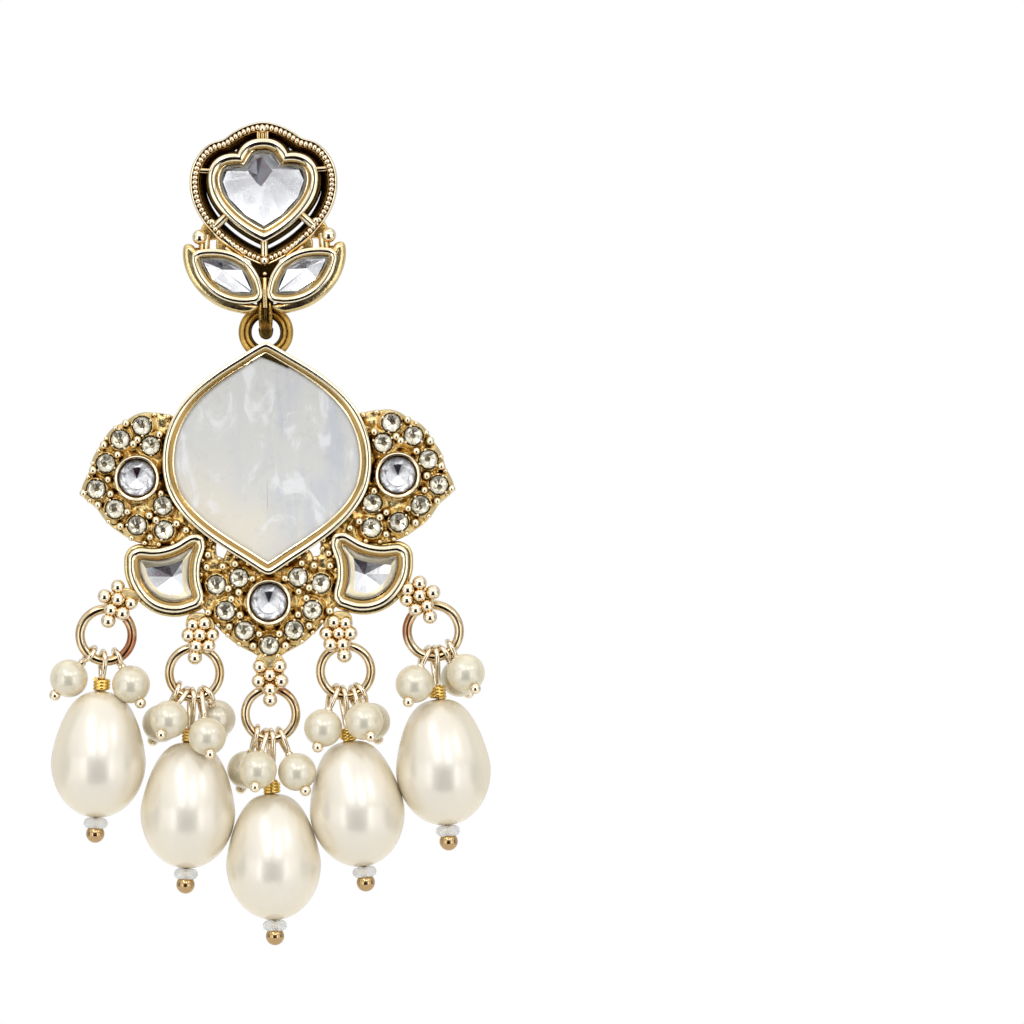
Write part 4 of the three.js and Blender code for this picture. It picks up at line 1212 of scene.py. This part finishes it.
class LinkRing(bpy.types.Operator):
    """Ring at the top of the pendant: two ridges with a groove between them and an inner lip dark as painted
    shade
    """

    bl_idname = "earring.link_ring"
    bl_label = "Link ring"

    def execute(self, context):
        inner, deep = LINK["inner"], LINK["half_depth"]
        span = LINK["outer"] - inner
        half = [(0, -0.45), (0.1, -0.85), (0.25, -1), (0.38, -0.85), (0.47, -0.62), (0.56, -0.85), (0.72, -1),
                (0.88, -0.85), (1, -0.45)]
        profile = [(inner + span * share, deep * up) for share, up in half]
        profile += [(inner + span * share, -deep * up) for share, up in reversed(half)]
        lip = [(1.5, -0.12), (1.6, -0.26), (1.8, -0.3), (1.8, 0.3), (1.6, 0.26), (1.5, 0.12)]
        for name, section, finish in (("link_ring", profile, "bail_gold"), ("link_lip", lip, "dark_gold")):
            ring = moved(turned(section, 64, axis="y", closed=True), (0, RING_PLANE, 0))
            add_gold("pendant", name, [ring], finish)
        return {"FINISHED"}


class CrescentSettings(bpy.types.Operator):
    """Two crescent cups on their flanges"""

    bl_idname = "earring.crescent_settings"
    bl_label = "Crescent settings"

    def execute(self, context):
        size = CUPS["crescent"]
        for side, _, turned_to in SIDES:
            shape = turned_to(offset(crescent_shape(), size["wall"]))
            flange = pillow(offset(shape, 0.45), -0.66, -1.7, 0.3)
            add_gold("pendant", f"crescent_setting_{side}", [cup(shape, size)], "rim_gold")
            add_gold("pendant", f"crescent_slope_{side}", [liner(shape, size)], "slope_gold")
            edge = inner_line(shape, 1.12, -2.66, 0.1)
            add_gold("pendant", f"crescent_inner_line_{side}", [edge], "rim_gold")
            add_gold("pendant", f"crescent_flange_{side}", [flange], "flange_gold")
        return {"FINISHED"}


class CastPlates(bpy.types.Operator):
    """Wings and fan, cast with a seat for each stone"""

    bl_idname = "earring.cast_plates"
    bl_label = "Wings and fan"

    def execute(self, context):
        net = context.scene.earring_detail.net / MM
        for seed, (name, (border, stones, large, _)) in enumerate(plates().items()):
            seats = [*stones, (*large, ROUND_SEAT)]
            body = relief(border, PLATE_BACK, plate_height(seats, 3.7 + 2.7 * seed), seat_rings(seats), net)
            add_gold("pendant", name, body, "cast_gold", sharp=60)
            ring = wire(at_depth(circle(0, 0, RHINESTONE + 0.02, 28), -2.36), 0.07, 8, closed=True)
            rings = [moved(ring, (x, 0, z)) for x, z, _ in stones]
            # Thin dark gold rings in each seat: painted shade round the stones.
            add_gold("pendant", f"{name}_seats", rings, "dark_gold")
        return {"FINISHED"}


class RoundSettings(bpy.types.Operator):
    """Stepped cups of the three large round stones"""

    bl_idname = "earring.round_settings"
    bl_label = "Round settings"

    def execute(self, context):
        rim = [(0, -0.2), (2.42, -0.2), (2.42, -2.75), (2.4, -2.93), (2.33, -3.06), (2.22, -3.12),
               (2.12, -3.09), (2.05, -2.98), (2.03, -2.84), (1.98, -2.8), (1.95, -2.88), (1.88, -2.88),
               (1.84, -2.74), (1.84, -1.7), (0, -1.7)]
        round_cup = turned(rim, 72, axis="y")
        for place, (x, z) in round_places().items():
            add_gold("pendant", f"round_setting_{place}", [moved(round_cup, (x, 0, z))], "rim_gold")
        return {"FINISHED"}


class ProngBalls(bpy.types.Operator):
    """Balls between the rhinestones, beads along the edge and tiny prongs over the stones"""

    bl_idname = "earring.prong_balls"
    bl_label = "Prong balls"

    def execute(self, context):
        radius = context.scene.earring_detail.ball_radius / MM
        dice = random.Random(11)
        ball_depth, edge_depth, prong_depth, prong_reach = -2.4, -2.08, -2.5, 1.06
        for name, (border, stones, _, balls) in plates().items():
            shapes = [ball(radius * dice.uniform(0.92, 1.1), (x, ball_depth, z)) for x, z in balls]
            for x, z in evenly(border - 0.2 * outward(border), 1.5):
                clear = min(math.hypot(x - a, z - b) - r for a, b, r in stones)
                apart = min(math.hypot(x - a, z - b) for a, b in balls)
                if clear > 0.25 and apart > 0.6:
                    shapes.append(ball(dice.uniform(0.26, 0.36), (x, edge_depth, z), 2))
            for x, z, _ in stones:
                start = dice.uniform(0, math.tau)
                for k in range(3):
                    turn = start + k * math.tau / 3 + dice.uniform(-0.4, 0.4)
                    place = (x + prong_reach * math.cos(turn), prong_depth, z + prong_reach * math.sin(turn))
                    shapes.append(ball(dice.uniform(0.13, 0.18), place, 2))
            add_gold("pendant", f"{name}_balls", shapes, "rim_gold")
        return {"FINISHED"}


def clusters():
    """Grains, web and drop row of the five clusters above the jump rings."""
    return (
        (flipped(OUTER_GRAINS), flipped(OUTER_WEB), DROPS[0]),
        (flipped(INNER_GRAINS), flipped(INNER_WEB), DROPS[1]),
        (MIDDLE_GRAINS, MIDDLE_WEB, DROPS[2]),
        (INNER_GRAINS, INNER_WEB, DROPS[3]),
        ([*OUTER_GRAINS, (14.6, -27.2)], OUTER_WEB, DROPS[4]),
    )


class GrainClusters(bpy.types.Operator):
    """Clusters of grains, each with the web behind it and the eyelet of its jump ring"""

    bl_idname = "earring.grain_clusters"
    bl_label = "Grain clusters"

    def execute(self, context):
        radius = context.scene.earring_detail.grain_radius / MM
        dice = random.Random(3)
        depth, eyelet_radius = -2.2, 0.95
        turn = np.arange(40) * math.tau / 40
        around = np.stack([0 * turn, np.cos(turn), np.sin(turn)], 1) * eyelet_radius
        eyelet = wire(around, 0.28, 12, closed=True)
        for number, (grains, web, row) in enumerate(clusters(), 1):
            (x, z), lean = row[0], math.radians(row[1])
            balls = [ball(radius * dice.uniform(0.97, 1.05), (gx, depth + dice.uniform(-0.1, 0.12), gz), 4)
                     for gx, gz in grains]
            add_gold("pendant", f"grains_{number}", balls, "grain_metal")
            centre = (x + RING["radius"] * math.sin(lean), RING_PLANE, z + RING["radius"] * math.cos(lean))
            loop = moved(eyelet, Matrix.Translation(centre) @ Matrix.Rotation(lean, 4, "Y"))
            back = pillow(offset(outline(web, NO_CORNERS), -0.3), -1.5, -2.25, 0.2)
            add_gold("pendant", f"grain_web_{number}", [back, loop], "web_gold")
        return {"FINISHED"}


# ---------------------------------------------------------------- stones

# The two pairs of stones that are not round. band is a cream border from the stone's edge: its width, depth
# and fall; dome holds the clear stone's back, girdle and top; bowl the share that its long facets take and
# its back, rim, border and deepest depth; the last two are the directions between which its facets carry a
# painted dark reflection, and its strength.
STONE_PAIRS = (
    {"body": "stud", "border": "leaf_border", "stone": "leaf_stone_{}_clear", "node": "stud_leaf_stone",
     "fine": (LEAF, (6, 6), 0.5), "coarse": (LEAF, (3, 3), 0.5), "band": (0.35, -2.94, 0.14),
     "apex": (4.4, -7.9), "dome": (-2.35, -3.0, -3.25), "bowl": (0.8, -2.38, -2.82, -2.76, -2.46),
     "reflecting_dark": {"left": (95, 165), "right": (50, 120)}, "share": 0.8},
    {"body": "pendant", "border": "crescent_border", "stone": "crescent_{}_clear", "node": "crescent_stone",
     "fine": (CRESCENT, (4, 6, 4), 0.3), "coarse": (CRESCENT, (2, 4, 2), 0.2), "band": (0.7, -2.5, 0.16),
     "apex": (10.1, -25.6), "dome": (-1.75, -2.58, -2.85), "bowl": (0.8, -1.78, -2.38, -2.3, -1.96),
     "reflecting_dark": {"left": (80, 190), "right": (75, 175)}, "share": 0.65},
)
HEART_MIDDLE = (-0.3, 2.4)


def domed(shape, back, girdle, table):
    """Clear stone: upright edge and a low dome in front."""
    line = smooth_line(shape)
    middle = line.mean(0)
    rows = [at_depth(line, back), at_depth(line, girdle)]
    for share, rise in ((0.965, 0.25), (0.91, 0.5), (0.82, 0.72), (0.68, 0.88), (0.46, 0.97), (0.2, 1.0)):
        rows.append(at_depth(middle + (line - middle) * share, girdle + (table - girdle) * rise))
    return skin(rows)


def facets(edge, apex, share, back, rim, border, deepest):
    """Bowl of facets behind a stone: a narrow border, then long facets that meet at the deepest point."""
    apex = np.array(apex, float)
    inner = apex + (edge - apex) * share
    return skin([at_depth(edge, back), at_depth(edge, rim), at_depth(inner, border),
                 at_depth(apex + (edge - apex) * 1e-4, deepest)])


def kite_foil(edge, middle, half_width, half_height, back, rim, border, deepest):
    """Heart foil: wide soft facets round a small upright kite, returned as the bowl and the kite."""
    away = edge - np.array(middle, float)
    turn = np.arctan2(away[:, 1], away[:, 0])
    reach = 1 / (np.abs(np.cos(turn)) / half_width + np.abs(np.sin(turn)) / half_height)
    inner = np.array(middle) + reach[:, None] * np.stack([np.cos(turn), np.sin(turn)], 1)
    ring = at_depth(inner, border)
    centre = np.array(middle) + (-0.25, -0.35)
    close = centre + (inner - centre) * 1e-4
    bowl = skin([at_depth(edge, back), at_depth(edge, rim), ring, at_depth(close, deepest + 0.08)])
    kite = skin([ring + (0, 0.35, 0), ring + (0, -0.01, 0), at_depth(close, deepest)])
    return bowl, kite


def dusky_between(body, centre, start, end, share=1.0, reach=99.0):
    """Painted dark reflection on the facets within reach of a point [x, z], between two directions in degrees
    from it.
    """
    home = PLACES[body].inverted()

    def dusk(middle):
        middle = home @ middle
        turn = math.degrees(math.atan2(middle.z - centre[1], middle.x - centre[0]))
        near = math.hypot(middle.x - centre[0], middle.z - centre[1]) < reach
        return share if near and (turn - start) % 360 < end - start else 0.0

    return dusk


def add_foiled(body, name, clear, bowl, node, foil_look):
    """Adds a clear stone that stands for a node, and the foil behind it; returns the foil."""
    add_stone(body, name, [clear], glass(), [node])
    return add_stone(body, f"{name}_foil", [bowl], foil_look, sharp=0)


class LargeStones(bpy.types.Operator):
    """Heart, leaf and crescent stones with their foils"""

    bl_idname = "earring.large_stones"
    bl_label = "Large foiled stones"

    def execute(self, context):
        silver_foil = context.scene.earring_stones.foil
        silver = foil("silver_foil", silver_foil)
        cream = plated("cream_border")
        heart = heart_shape()
        border = border_band(heart, CUPS["heart"]["wall"], 1.5, -2.72, 0.3)
        coarse = offset(curved(HEART, (2, 2, 3), symmetric=True), -1.5)[0]
        bowl, kite = kite_foil(coarse, HEART_MIDDLE, 1.3, 1.75, -1.7, -2.5, -2.15, -1.9)
        clear = domed(offset(heart, -1.12), -1.65, -2.85, -3.2)
        add_stone("stud", "heart_border", [border], cream)
        add_foiled("stud", "heart_stone", clear, bowl, "stud_heart_stone", soft_foil())
        kite_look = foil("kite_foil", silver_foil, 0.5, 0.15, 0.25)
        # The whole kite carries the painted dark reflection at three quarters.
        mark_dusk(add_stone("stud", "heart_stone_kite", [kite], kite_look, sharp=0), lambda middle: 0.75)
        for pair in STONE_PAIRS:
            body, (width, depth, fall), (x, z) = pair["body"], pair["band"], pair["apex"]
            for side, sign, turned_to in SIDES:
                fine, coarse = (
                    turned_to(rounded(curved(curves, counts), reach, steps))
                    for (curves, counts, reach), steps in ((pair["fine"], 4), (pair["coarse"], 1)))
                border = border_band(fine, 0.0, width, depth, fall)
                add_stone(body, f"{pair['border']}_{side}", [border], cream)
                bowl = facets(offset(coarse, -0.3)[0], (sign * x, z), *pair["bowl"])
                back = add_foiled(body, pair["stone"].format(side), domed(fine, *pair["dome"]), bowl,
                                  f"{pair['node']}_{side}", silver)
                start, end = pair["reflecting_dark"][side]
                mark_dusk(back, dusky_between(body, (sign * x, z), start, end, pair["share"]))
        return {"FINISHED"}


class RoundStones(bpy.types.Operator):
    """Three large round stones with their foils"""

    bl_idname = "earring.round_stones"
    bl_label = "Large round stones"

    def execute(self, context):
        radius, sides = 1.83, 16
        profile = [(0, -1.75), (radius, -1.75), (radius, -2.6), (1.66, -2.7), (1.4, -2.8), (1.1, -2.84),
                   (0, -2.86)]
        crown = turned(profile, 56, axis="y")
        edge, middle = circle(0, 0, 1.8, sides), circle(0, 0, 1.25, sides)
        heights = -2.44 + 0.035 * (-1.0) ** np.arange(sides)
        bowl = skin([
            at_depth(edge, -1.78), at_depth(edge, -2.5), np.stack([middle[:, 0], heights, middle[:, 1]], 1),
            at_depth(circle(0, 0, 1.15, sides), -2.44), at_depth(circle(0, -0.05, 1e-4, sides), -2.27)])
        for place, (x, z) in round_places().items():
            back = add_foiled("pendant", f"round_{place}_clear", moved(crown, (x, 0, z)),
                              moved(bowl, (x, 0, z)), f"round_stone_{place}", soft_foil())
            # A wedge at the top of each round foil carries the painted dark reflection.
            mark_dusk(back, dusky_between("pendant", (x, z), 68, 112, reach=1.0))
        return {"FINISHED"}


def cut_crown():
    """Crown of a small brilliant about its own middle, as a hull of its corners."""
    work = bmesh.new()
    for radius, y, sides in ((0.66, -2.66, 8), (RHINESTONE, -2.5, 16), (RHINESTONE, -1.95, 16)):
        for x, z in circle(0, 0, radius, sides):
            work.verts.new((x, y, z))
    bmesh.ops.convex_hull(work, input=work.verts)
    return taken_from(work)


class Rhinestones(bpy.types.Operator):
    """Rhinestones of the wings and the fan with their foils"""

    bl_idname = "earring.rhinestones"
    bl_label = "Rhinestones"

    def execute(self, context):
        settings = context.scene.earring_stones
        clear_look = glass("rhinestone_glass", srgb(253, 250, 240))
        foil_look = foil("champagne_foil", settings.champagne_foil, 0.75, 0.06, 0.14, settings.olive)
        crown, home = cut_crown(), PLACES["pendant"].inverted()
        dice = random.Random(5)
        middle = Matrix.Translation((0, -2.4, 0))
        for name, (_, stones, _, _) in plates().items():
            clear, bowls = [], []
            for x, z, _ in stones:
                off_x, off_z = dice.uniform(-0.16, 0.16), dice.uniform(-0.2, 0.08)
                edge, inner = circle(0, 0, RHINESTONE - 0.015, 10), circle(off_x, off_z, 0.3, 10)
                depths = np.array([dice.uniform(-2.36, -2.27) for _ in inner])
                uneven = np.stack([inner[:, 0], depths, inner[:, 1]], 1)
                bowl = skin([at_depth(edge, -1.97), at_depth(edge, -2.44), uneven,
                             at_depth(circle(off_x, off_z, 1e-4, 10), -2.2)])
                tilt = Matrix.Rotation(dice.uniform(-0.06, 0.06), 4, "X")
                tilt = tilt @ Matrix.Rotation(dice.uniform(-0.06, 0.06), 4, "Z")
                spin = Matrix.Rotation(dice.uniform(0, math.tau), 4, "Y")
                place = Matrix.Translation((x, 0, z)) @ middle @ tilt @ middle.inverted()
                clear.append(moved(crown, place @ spin))
                bowls.append(moved(bowl, place))

            # Facets near each rhinestone's middle carry the painted dark reflection in olive.
            def dusk(centre):
                centre = home @ centre
                away = min(math.hypot(centre.x - x, centre.z - z) for x, z, _ in stones)
                return 0.85 if away < 0.4 and centre.y > -2.33 else 0.0

            add_stone("pendant", f"{name}_rhinestones", clear, clear_look, sharp=0)
            mark_dusk(add_stone("pendant", f"{name}_rhinestone_foils", bowls, foil_look, sharp=0), dusk)
        return {"FINISHED"}


class ShellSlab(bpy.types.Operator):
    """Polished mother-of-pearl in the diamond"""

    bl_idname = "earring.shell_slab"
    bl_label = "Mother-of-pearl"

    def execute(self, context):
        slab = domed(offset(diamond_shape(), -0.98), -1.75, -2.6, -2.85)
        add_piece("shell_slab", [slab], PLACES["pendant"], "pendant", "mother_of_pearl", mother_of_pearl(),
                  ["mother_of_pearl_stone"])
        return {"FINISHED"}


# ---------------------------------------------------------------- the drops

def on_ring(degrees):
    """Point of a jump ring's wire, by its angle from the foot of the ring towards +X."""
    turn = math.radians(degrees)
    return Vector((RING["radius"] * math.sin(turn), 0, -RING["radius"] * math.cos(turn)))


def ring_place(row):
    return PLACES["pendant"] @ Matrix.Translation((row[0][0], RING_PLANE, row[0][1]))


def teardrop_place(row):
    _, _, hook, lean, stem, _ = row
    lean = math.radians(lean)
    top = on_ring(hook) + stem * Vector((math.sin(lean), 0, -math.cos(lean)))
    return ring_place(row) @ Matrix.Translation(top) @ Matrix.Rotation(-lean, 4, "Y")


def small_place(row, pearl_row):
    """Frame of a small pearl with its Z axis towards its hook, and the distance to the hook."""
    hook, x, y, z = pearl_row
    middle, held = Vector((x, y, z)), on_ring(hook)
    along_ring = Vector((-held.z, 0, held.x))
    return ring_place(row) @ frame_along(middle, held, along_ring), (held - middle).length


def loop_line(foot, hook, thick):
    """Middle line of a wire loop from its foot up round a wire that crosses at the hook."""
    radius = 1.08 * (RING["wire"] + WIRE_GAP)
    side = [(0.75 * radius, (foot + hook) / 2), (radius, hook), (0.7 * radius, hook + 0.7 * radius)]
    points = [(0, foot), *side, (0, hook + radius), *[(-y, z) for y, z in reversed(side)]]
    shape = offset(outline(points, 179), thick)
    return np.array([(0, y, z) for y, z in smooth_line(shape, 6)])


def teardrop_radius(height, widest=0.55):
    """Radius of a teardrop as a share of its largest, at a height from 0 at its top to 1 at its foot."""
    if height > widest:
        return math.sqrt(max(0, 1 - ((height - widest) / (1 - widest)) ** 2))
    return (1 - (1 - height / widest) ** 1.3) ** 0.36


def small_rows():
    """Number with letter, ring row and own row of each small pearl."""
    return [(f"{number}{letter}", row, pearl_row)
            for number, row in enumerate(DROPS, 1) for letter, pearl_row in zip("abcd", row[5])]


def add_drop(name, shapes, place, slot, material, node=None, sharp=SHARP):
    """Adds a piece of a drop at its own place; node is the node that it stands for."""
    return add_piece(name, shapes, place, "pendant", slot, material, [node] if node else (), sharp)


class JumpRings(bpy.types.Operator):
    """Five jump rings, each with its fine joint under the eyelet"""

    bl_idname = "earring.jump_rings"
    bl_label = "Jump rings"

    def execute(self, context):
        for number, row in enumerate(DROPS, 1):
            radius, thick = (2.74, 0.51) if number in (1, 5) else (2.66, 0.48)
            joint = math.pi / 2 - math.radians(row[1])
            turn = joint + np.linspace(0.006, math.tau - 0.006, 97)
            path = np.stack([np.cos(turn), 0 * turn, np.sin(turn)], 1) * radius
            add_drop(f"ring_{number}", [wire(path, thick, 20)], ring_place(row), "silver_gold", ring_metal(),
                     f"jump_ring_{number}", 50)
        return {"FINISHED"}


class TeardropPearls(bpy.types.Operator):
    """Five large teardrop pearls"""

    bl_idname = "earring.teardrop_pearls"
    bl_label = "Teardrop pearls"

    def execute(self, context):
        radius, length = DROP["radius"], DROP["length"]
        heights = (1 - np.cos(np.linspace(0.07, math.pi - 0.05, 44))) / 2
        profile = [(0, -0.35), (0.3, -0.3)]
        profile += [(radius * teardrop_radius(h), -h * length) for h in heights]
        profile += [(0.4, -length + 0.02), (0.3, -length + 0.3), (0, -length + 0.35)]
        look = pearl("teardrop_pearl", context.scene.earring_pearls.body)
        for number, row in enumerate(DROPS, 1):
            add_drop(f"teardrop_{number}", [turned(profile, 72)], teardrop_place(row), "pearl", look,
                     f"drop_pearl_{number}", 70)
        return {"FINISHED"}


class HeadPins(bpy.types.Operator):
    """Head pins of the teardrops: end ball, clear seed bead, wrapped neck and loop"""

    bl_idname = "earring.head_pins"
    bl_label = "Head pins"

    def execute(self, context):
        length, thick, neck, end = (DROP[key] for key in ("length", "wire", "gap", "end_ball"))
        seed_foot = -length - neck - SEED["height"]
        wrap_top = neck + WRAP["height"]
        shaft, top = rod(thick, seed_foot - 0.3, 0.3 - length, 16), rod(thick, -0.4, wrap_top + 0.2, 16)
        end_ball = ball(end, (0, 0, seed_foot - 0.85 * end), 4)
        turns, coil = 3.4, 0.21
        turn = np.linspace(0, turns * math.tau, 90)
        rise = np.linspace(0.7 * coil, wrap_top - coil, 90)
        coil_radius = WRAP["radius"] - coil
        bend = np.arange(24) * math.tau / 24
        bead = turned([(0.75 + 0.52 * math.cos(t), -length - 0.56 + 0.56 * math.sin(t)) for t in bend], 40,
                      closed=True)
        for number, row in enumerate(DROPS, 1):
            place = teardrop_place(row)
            loop = wire(loop_line(wrap_top + 0.15, row[4], thick), 1.08 * thick, 12, closed=True)
            around = turn + number
            helix = np.stack([coil_radius * np.cos(around), coil_radius * np.sin(around), rise], 1)
            for name, shapes, slot, material, node in (
                    ("headpin", [shaft, top, moved(loop, LOOP_TWIST)], "silver_gold", plated("wire_metal"),
                     f"drop_pin_{number}"),
                    ("end_ball", [end_ball], "silver_gold", plated("ball_gold"), None),
                    ("wrap", [wire(helix, coil * 1.08, 10)], "silver_gold", plated("wrap_gold"), None),
                    ("seed_bead", [bead], "foiled_glass", seed_glass(), None)):
                add_drop(f"{name}_{number}", shapes, place, slot, material, node)
        return {"FINISHED"}


class SmallPearls(bpy.types.Operator):
    """Small round pearls, two to four on each jump ring"""

    bl_idname = "earring.small_pearls"
    bl_label = "Small pearls"

    def execute(self, context):
        look = pearl("round_pearl", context.scene.earring_pearls.small)
        radius = SMALL["radius"]
        turns = np.linspace(-math.pi / 2 + 0.13, math.pi / 2 - 0.13, 30)
        profile = [(0, -radius + 0.25), *[(radius * math.cos(t), radius * math.sin(t)) for t in turns],
                   (0, radius - 0.25)]
        for label, row, pearl_row in small_rows():
            place, _ = small_place(row, pearl_row)
            add_drop(f"bead_pearl_{label}", [turned(profile, 48)], place, "pearl", look,
                     f"small_pearl_{label}", 70)
        return {"FINISHED"}


class SmallPins(bpy.types.Operator):
    """Pins of the small pearls: end ball, neck and loop"""

    bl_idname = "earring.small_pins"
    bl_label = "Small pins"

    def execute(self, context):
        radius, thick, end = (SMALL[key] for key in ("radius", "wire", "end_ball"))
        foot = -radius - 0.5 * end
        neck = rod(thick, radius - 0.3, radius + 0.6, 14)
        knot = turned([(0, radius - 0.02), (0.42, radius + 0.02), (0.46, radius + 0.2), (0.34, radius + 0.42),
                       (0, radius + 0.46)], 20)
        tail = rod(thick, foot, 0.3 - radius, 14)
        for label, row, pearl_row in small_rows():
            place, reach = small_place(row, pearl_row)
            loop = moved(wire(loop_line(radius + 0.6, reach, thick), 0.26, 12, closed=True), LOOP_TWIST)
            add_drop(f"pearl_pin_{label}", [neck, knot, tail, loop, ball(end, (0, 0, foot))], place,
                     "silver_gold", plated("wire_metal"), f"small_pin_{label}")
        return {"FINISHED"}


# ---------------------------------------------------------------- the stage

def studio_world(strength):
    """White backdrop for the camera; soft boxes and side walls round a dark gap low in front."""
    world = bpy.data.worlds.new("studio")
    world.use_nodes = True
    tree = world.node_tree
    tree.nodes.clear()
    x, y, z = add_node(tree, "SeparateXYZ", {0: add_node(tree, "TexCoord").outputs["Generated"]}).outputs
    wide = add_node(tree, "Math", {0: x}, operation="ABSOLUTE").outputs[0]
    front = fade(tree, y, 0.1, -0.1)

    def lit(power, *edges):
        """Area of light between soft edges [value, start, end]."""
        return combine(tree, "MULTIPLY", *[fade(tree, *edge) for edge in edges], power)

    panel = combine(tree, "MULTIPLY", front, lit(1.15, (z, 0.22, 0.36), (z, 0.95, 0.85)))
    lobes = combine(tree, "MULTIPLY", front, lit(
        4.2, (wide, 0.02, 0.16), (wide, 0.44, 0.28), (z, 0.22, 0.4), (z, 0.7, 0.48)))
    walls = lit(1.3, (wide, 0.36, 0.46), (wide, 0.97, 0.9), (z, -0.7, -0.5), (z, 0.3, 0.2), (y, 0.2, 0.0))
    strips = combine(tree, "MULTIPLY", front, lit(
        2.6, (wide, 0.46, 0.5), (wide, 0.64, 0.58), (z, -0.55, -0.4), (z, 0.3, 0.2)))
    ceiling, room = fade(tree, z, 0.7, 0.9, 0.0, 1.3), fade(tree, y, 0.5, -0.4, 0.75, 0.25)
    level = combine(tree, "MAXIMUM", panel, lobes, walls, strips, ceiling, room)
    level = combine(tree, "MULTIPLY", level, strength)
    reach = fade(tree, z, 0.12, -0.75, 0.06, 0.4)
    clear = combine(
        tree, "MAXIMUM", fade(tree, combine(tree, "SUBTRACT", wide, reach), -0.03, 0.09),
        fade(tree, z, 0.03, 0.16), fade(tree, y, -0.05, 0.1), fade(tree, z, -0.82, -0.95))
    light = blend(tree, clear, (0.05, 0.025, 0.04, 1), (1, 1, 1, 1))
    glow = add_node(tree, "Background", {"Color": light, "Strength": level})
    paper = add_node(tree, "Background", {"Color": (1, 1, 1, 1), "Strength": 1.0})
    seen = add_node(tree, "LightPath").outputs["Is Camera Ray"]
    mix = add_node(tree, "MixShader", {0: seen, 1: glow.outputs[0], 2: paper.outputs[0]})
    tree.links.new(mix.outputs[0], add_node(tree, "OutputWorld").inputs["Surface"])
    bpy.context.scene.world = world


class Stage(bpy.types.Operator):
    """Pale floor, soft studio light and the camera"""

    bl_idname = "earring.stage"
    bl_label = "Stage"

    def execute(self, context):
        settings = context.scene.earring_stage
        low, high = CAD_BOX
        floor_z = low.z - settings.floor_drop
        half, near, far = 0.09, -0.05, 0.13
        mesh = bpy.data.meshes.new("floor")
        corners = [(-half, near, floor_z), (half, near, floor_z), (half, far, floor_z), (-half, far, floor_z)]
        mesh.from_pydata(corners, [], [(0, 1, 2, 3)])
        floor = new_object("floor", mesh)
        floor.data.materials.append(floor_paper())
        studio_world(settings.light)
        lamps = (("key_light", (-0.3, -0.5, 0.5), 0.14, 0.4), ("fill_light", (0.45, -0.45, 0.35), 0.12, 0.2))
        for name, place, size, power in lamps:
            lamp = bpy.data.lights.new(name, "AREA")
            lamp.shape, lamp.size, lamp.energy = "SQUARE", size, power * settings.light
            made = new_object(name, lamp)
            made.location = (low + high) / 2 + Vector(place)
            made.rotation_euler = (-Vector(place)).to_track_quat("-Z", "Y").to_euler()
            made.visible_camera = False
        camera = bpy.data.cameras.new("camera")
        camera.sensor_width = 36
        camera.lens = camera.sensor_width * settings.distance / settings.width
        camera.clip_start, camera.clip_end = 0.05, 20
        seen = new_object("camera", camera)
        seen.location = (0.0261, -settings.distance, -0.0334)
        seen.rotation_euler = (math.pi / 2, 0, 0)
        context.scene.camera = seen
        context.scene.view_settings.view_transform = "Standard"
        return {"FINISHED"}


# ---------------------------------------------------------------- registration

PIECES = (
    StudBand, HeartSetting, LeafSettings, BailAndPost, LinkRing, DiamondRim, CrescentSettings, CastPlates,
    RoundSettings, ProngBalls, GrainClusters, LargeStones, RoundStones, Rhinestones, ShellSlab, JumpRings,
    TeardropPearls, HeadPins, SmallPearls, SmallPins, Stage,
)
SETTINGS = {
    "earring_metal": MetalSettings, "earring_stones": StoneSettings, "earring_pearls": PearlSettings,
    "earring_detail": DetailSettings, "earring_stage": StageSettings,
}


class EarringPanel(bpy.types.Panel):
    """Lists the settings and the pieces of the earring"""

    bl_idname = "VIEW3D_PT_earring"
    bl_label = "Chandbali earring"
    bl_space_type = "VIEW_3D"
    bl_region_type = "UI"
    bl_category = "Earring"

    def draw(self, context):
        for name, group in SETTINGS.items():
            box = self.layout.box()
            box.label(text=group.__doc__)
            for setting_name in group.__annotations__:
                box.prop(getattr(context.scene, name), setting_name)
        for piece in PIECES:
            self.layout.operator(piece.bl_idname)


def register():
    for made in (*SETTINGS.values(), *PIECES, EarringPanel):
        bpy.utils.register_class(made)
    for name, group in SETTINGS.items():
        setattr(bpy.types.Scene, name, bpy.props.PointerProperty(type=group))


def unregister():
    for name in SETTINGS:
        delattr(bpy.types.Scene, name)
    for made in (EarringPanel, *reversed(PIECES), *SETTINGS.values()):
        bpy.utils.unregister_class(made)


def main():
    register()
    for piece in PIECES:
        group, name = piece.bl_idname.split(".")
        getattr(getattr(bpy.ops, group), name)()


if __name__ == "__main__":
    main()
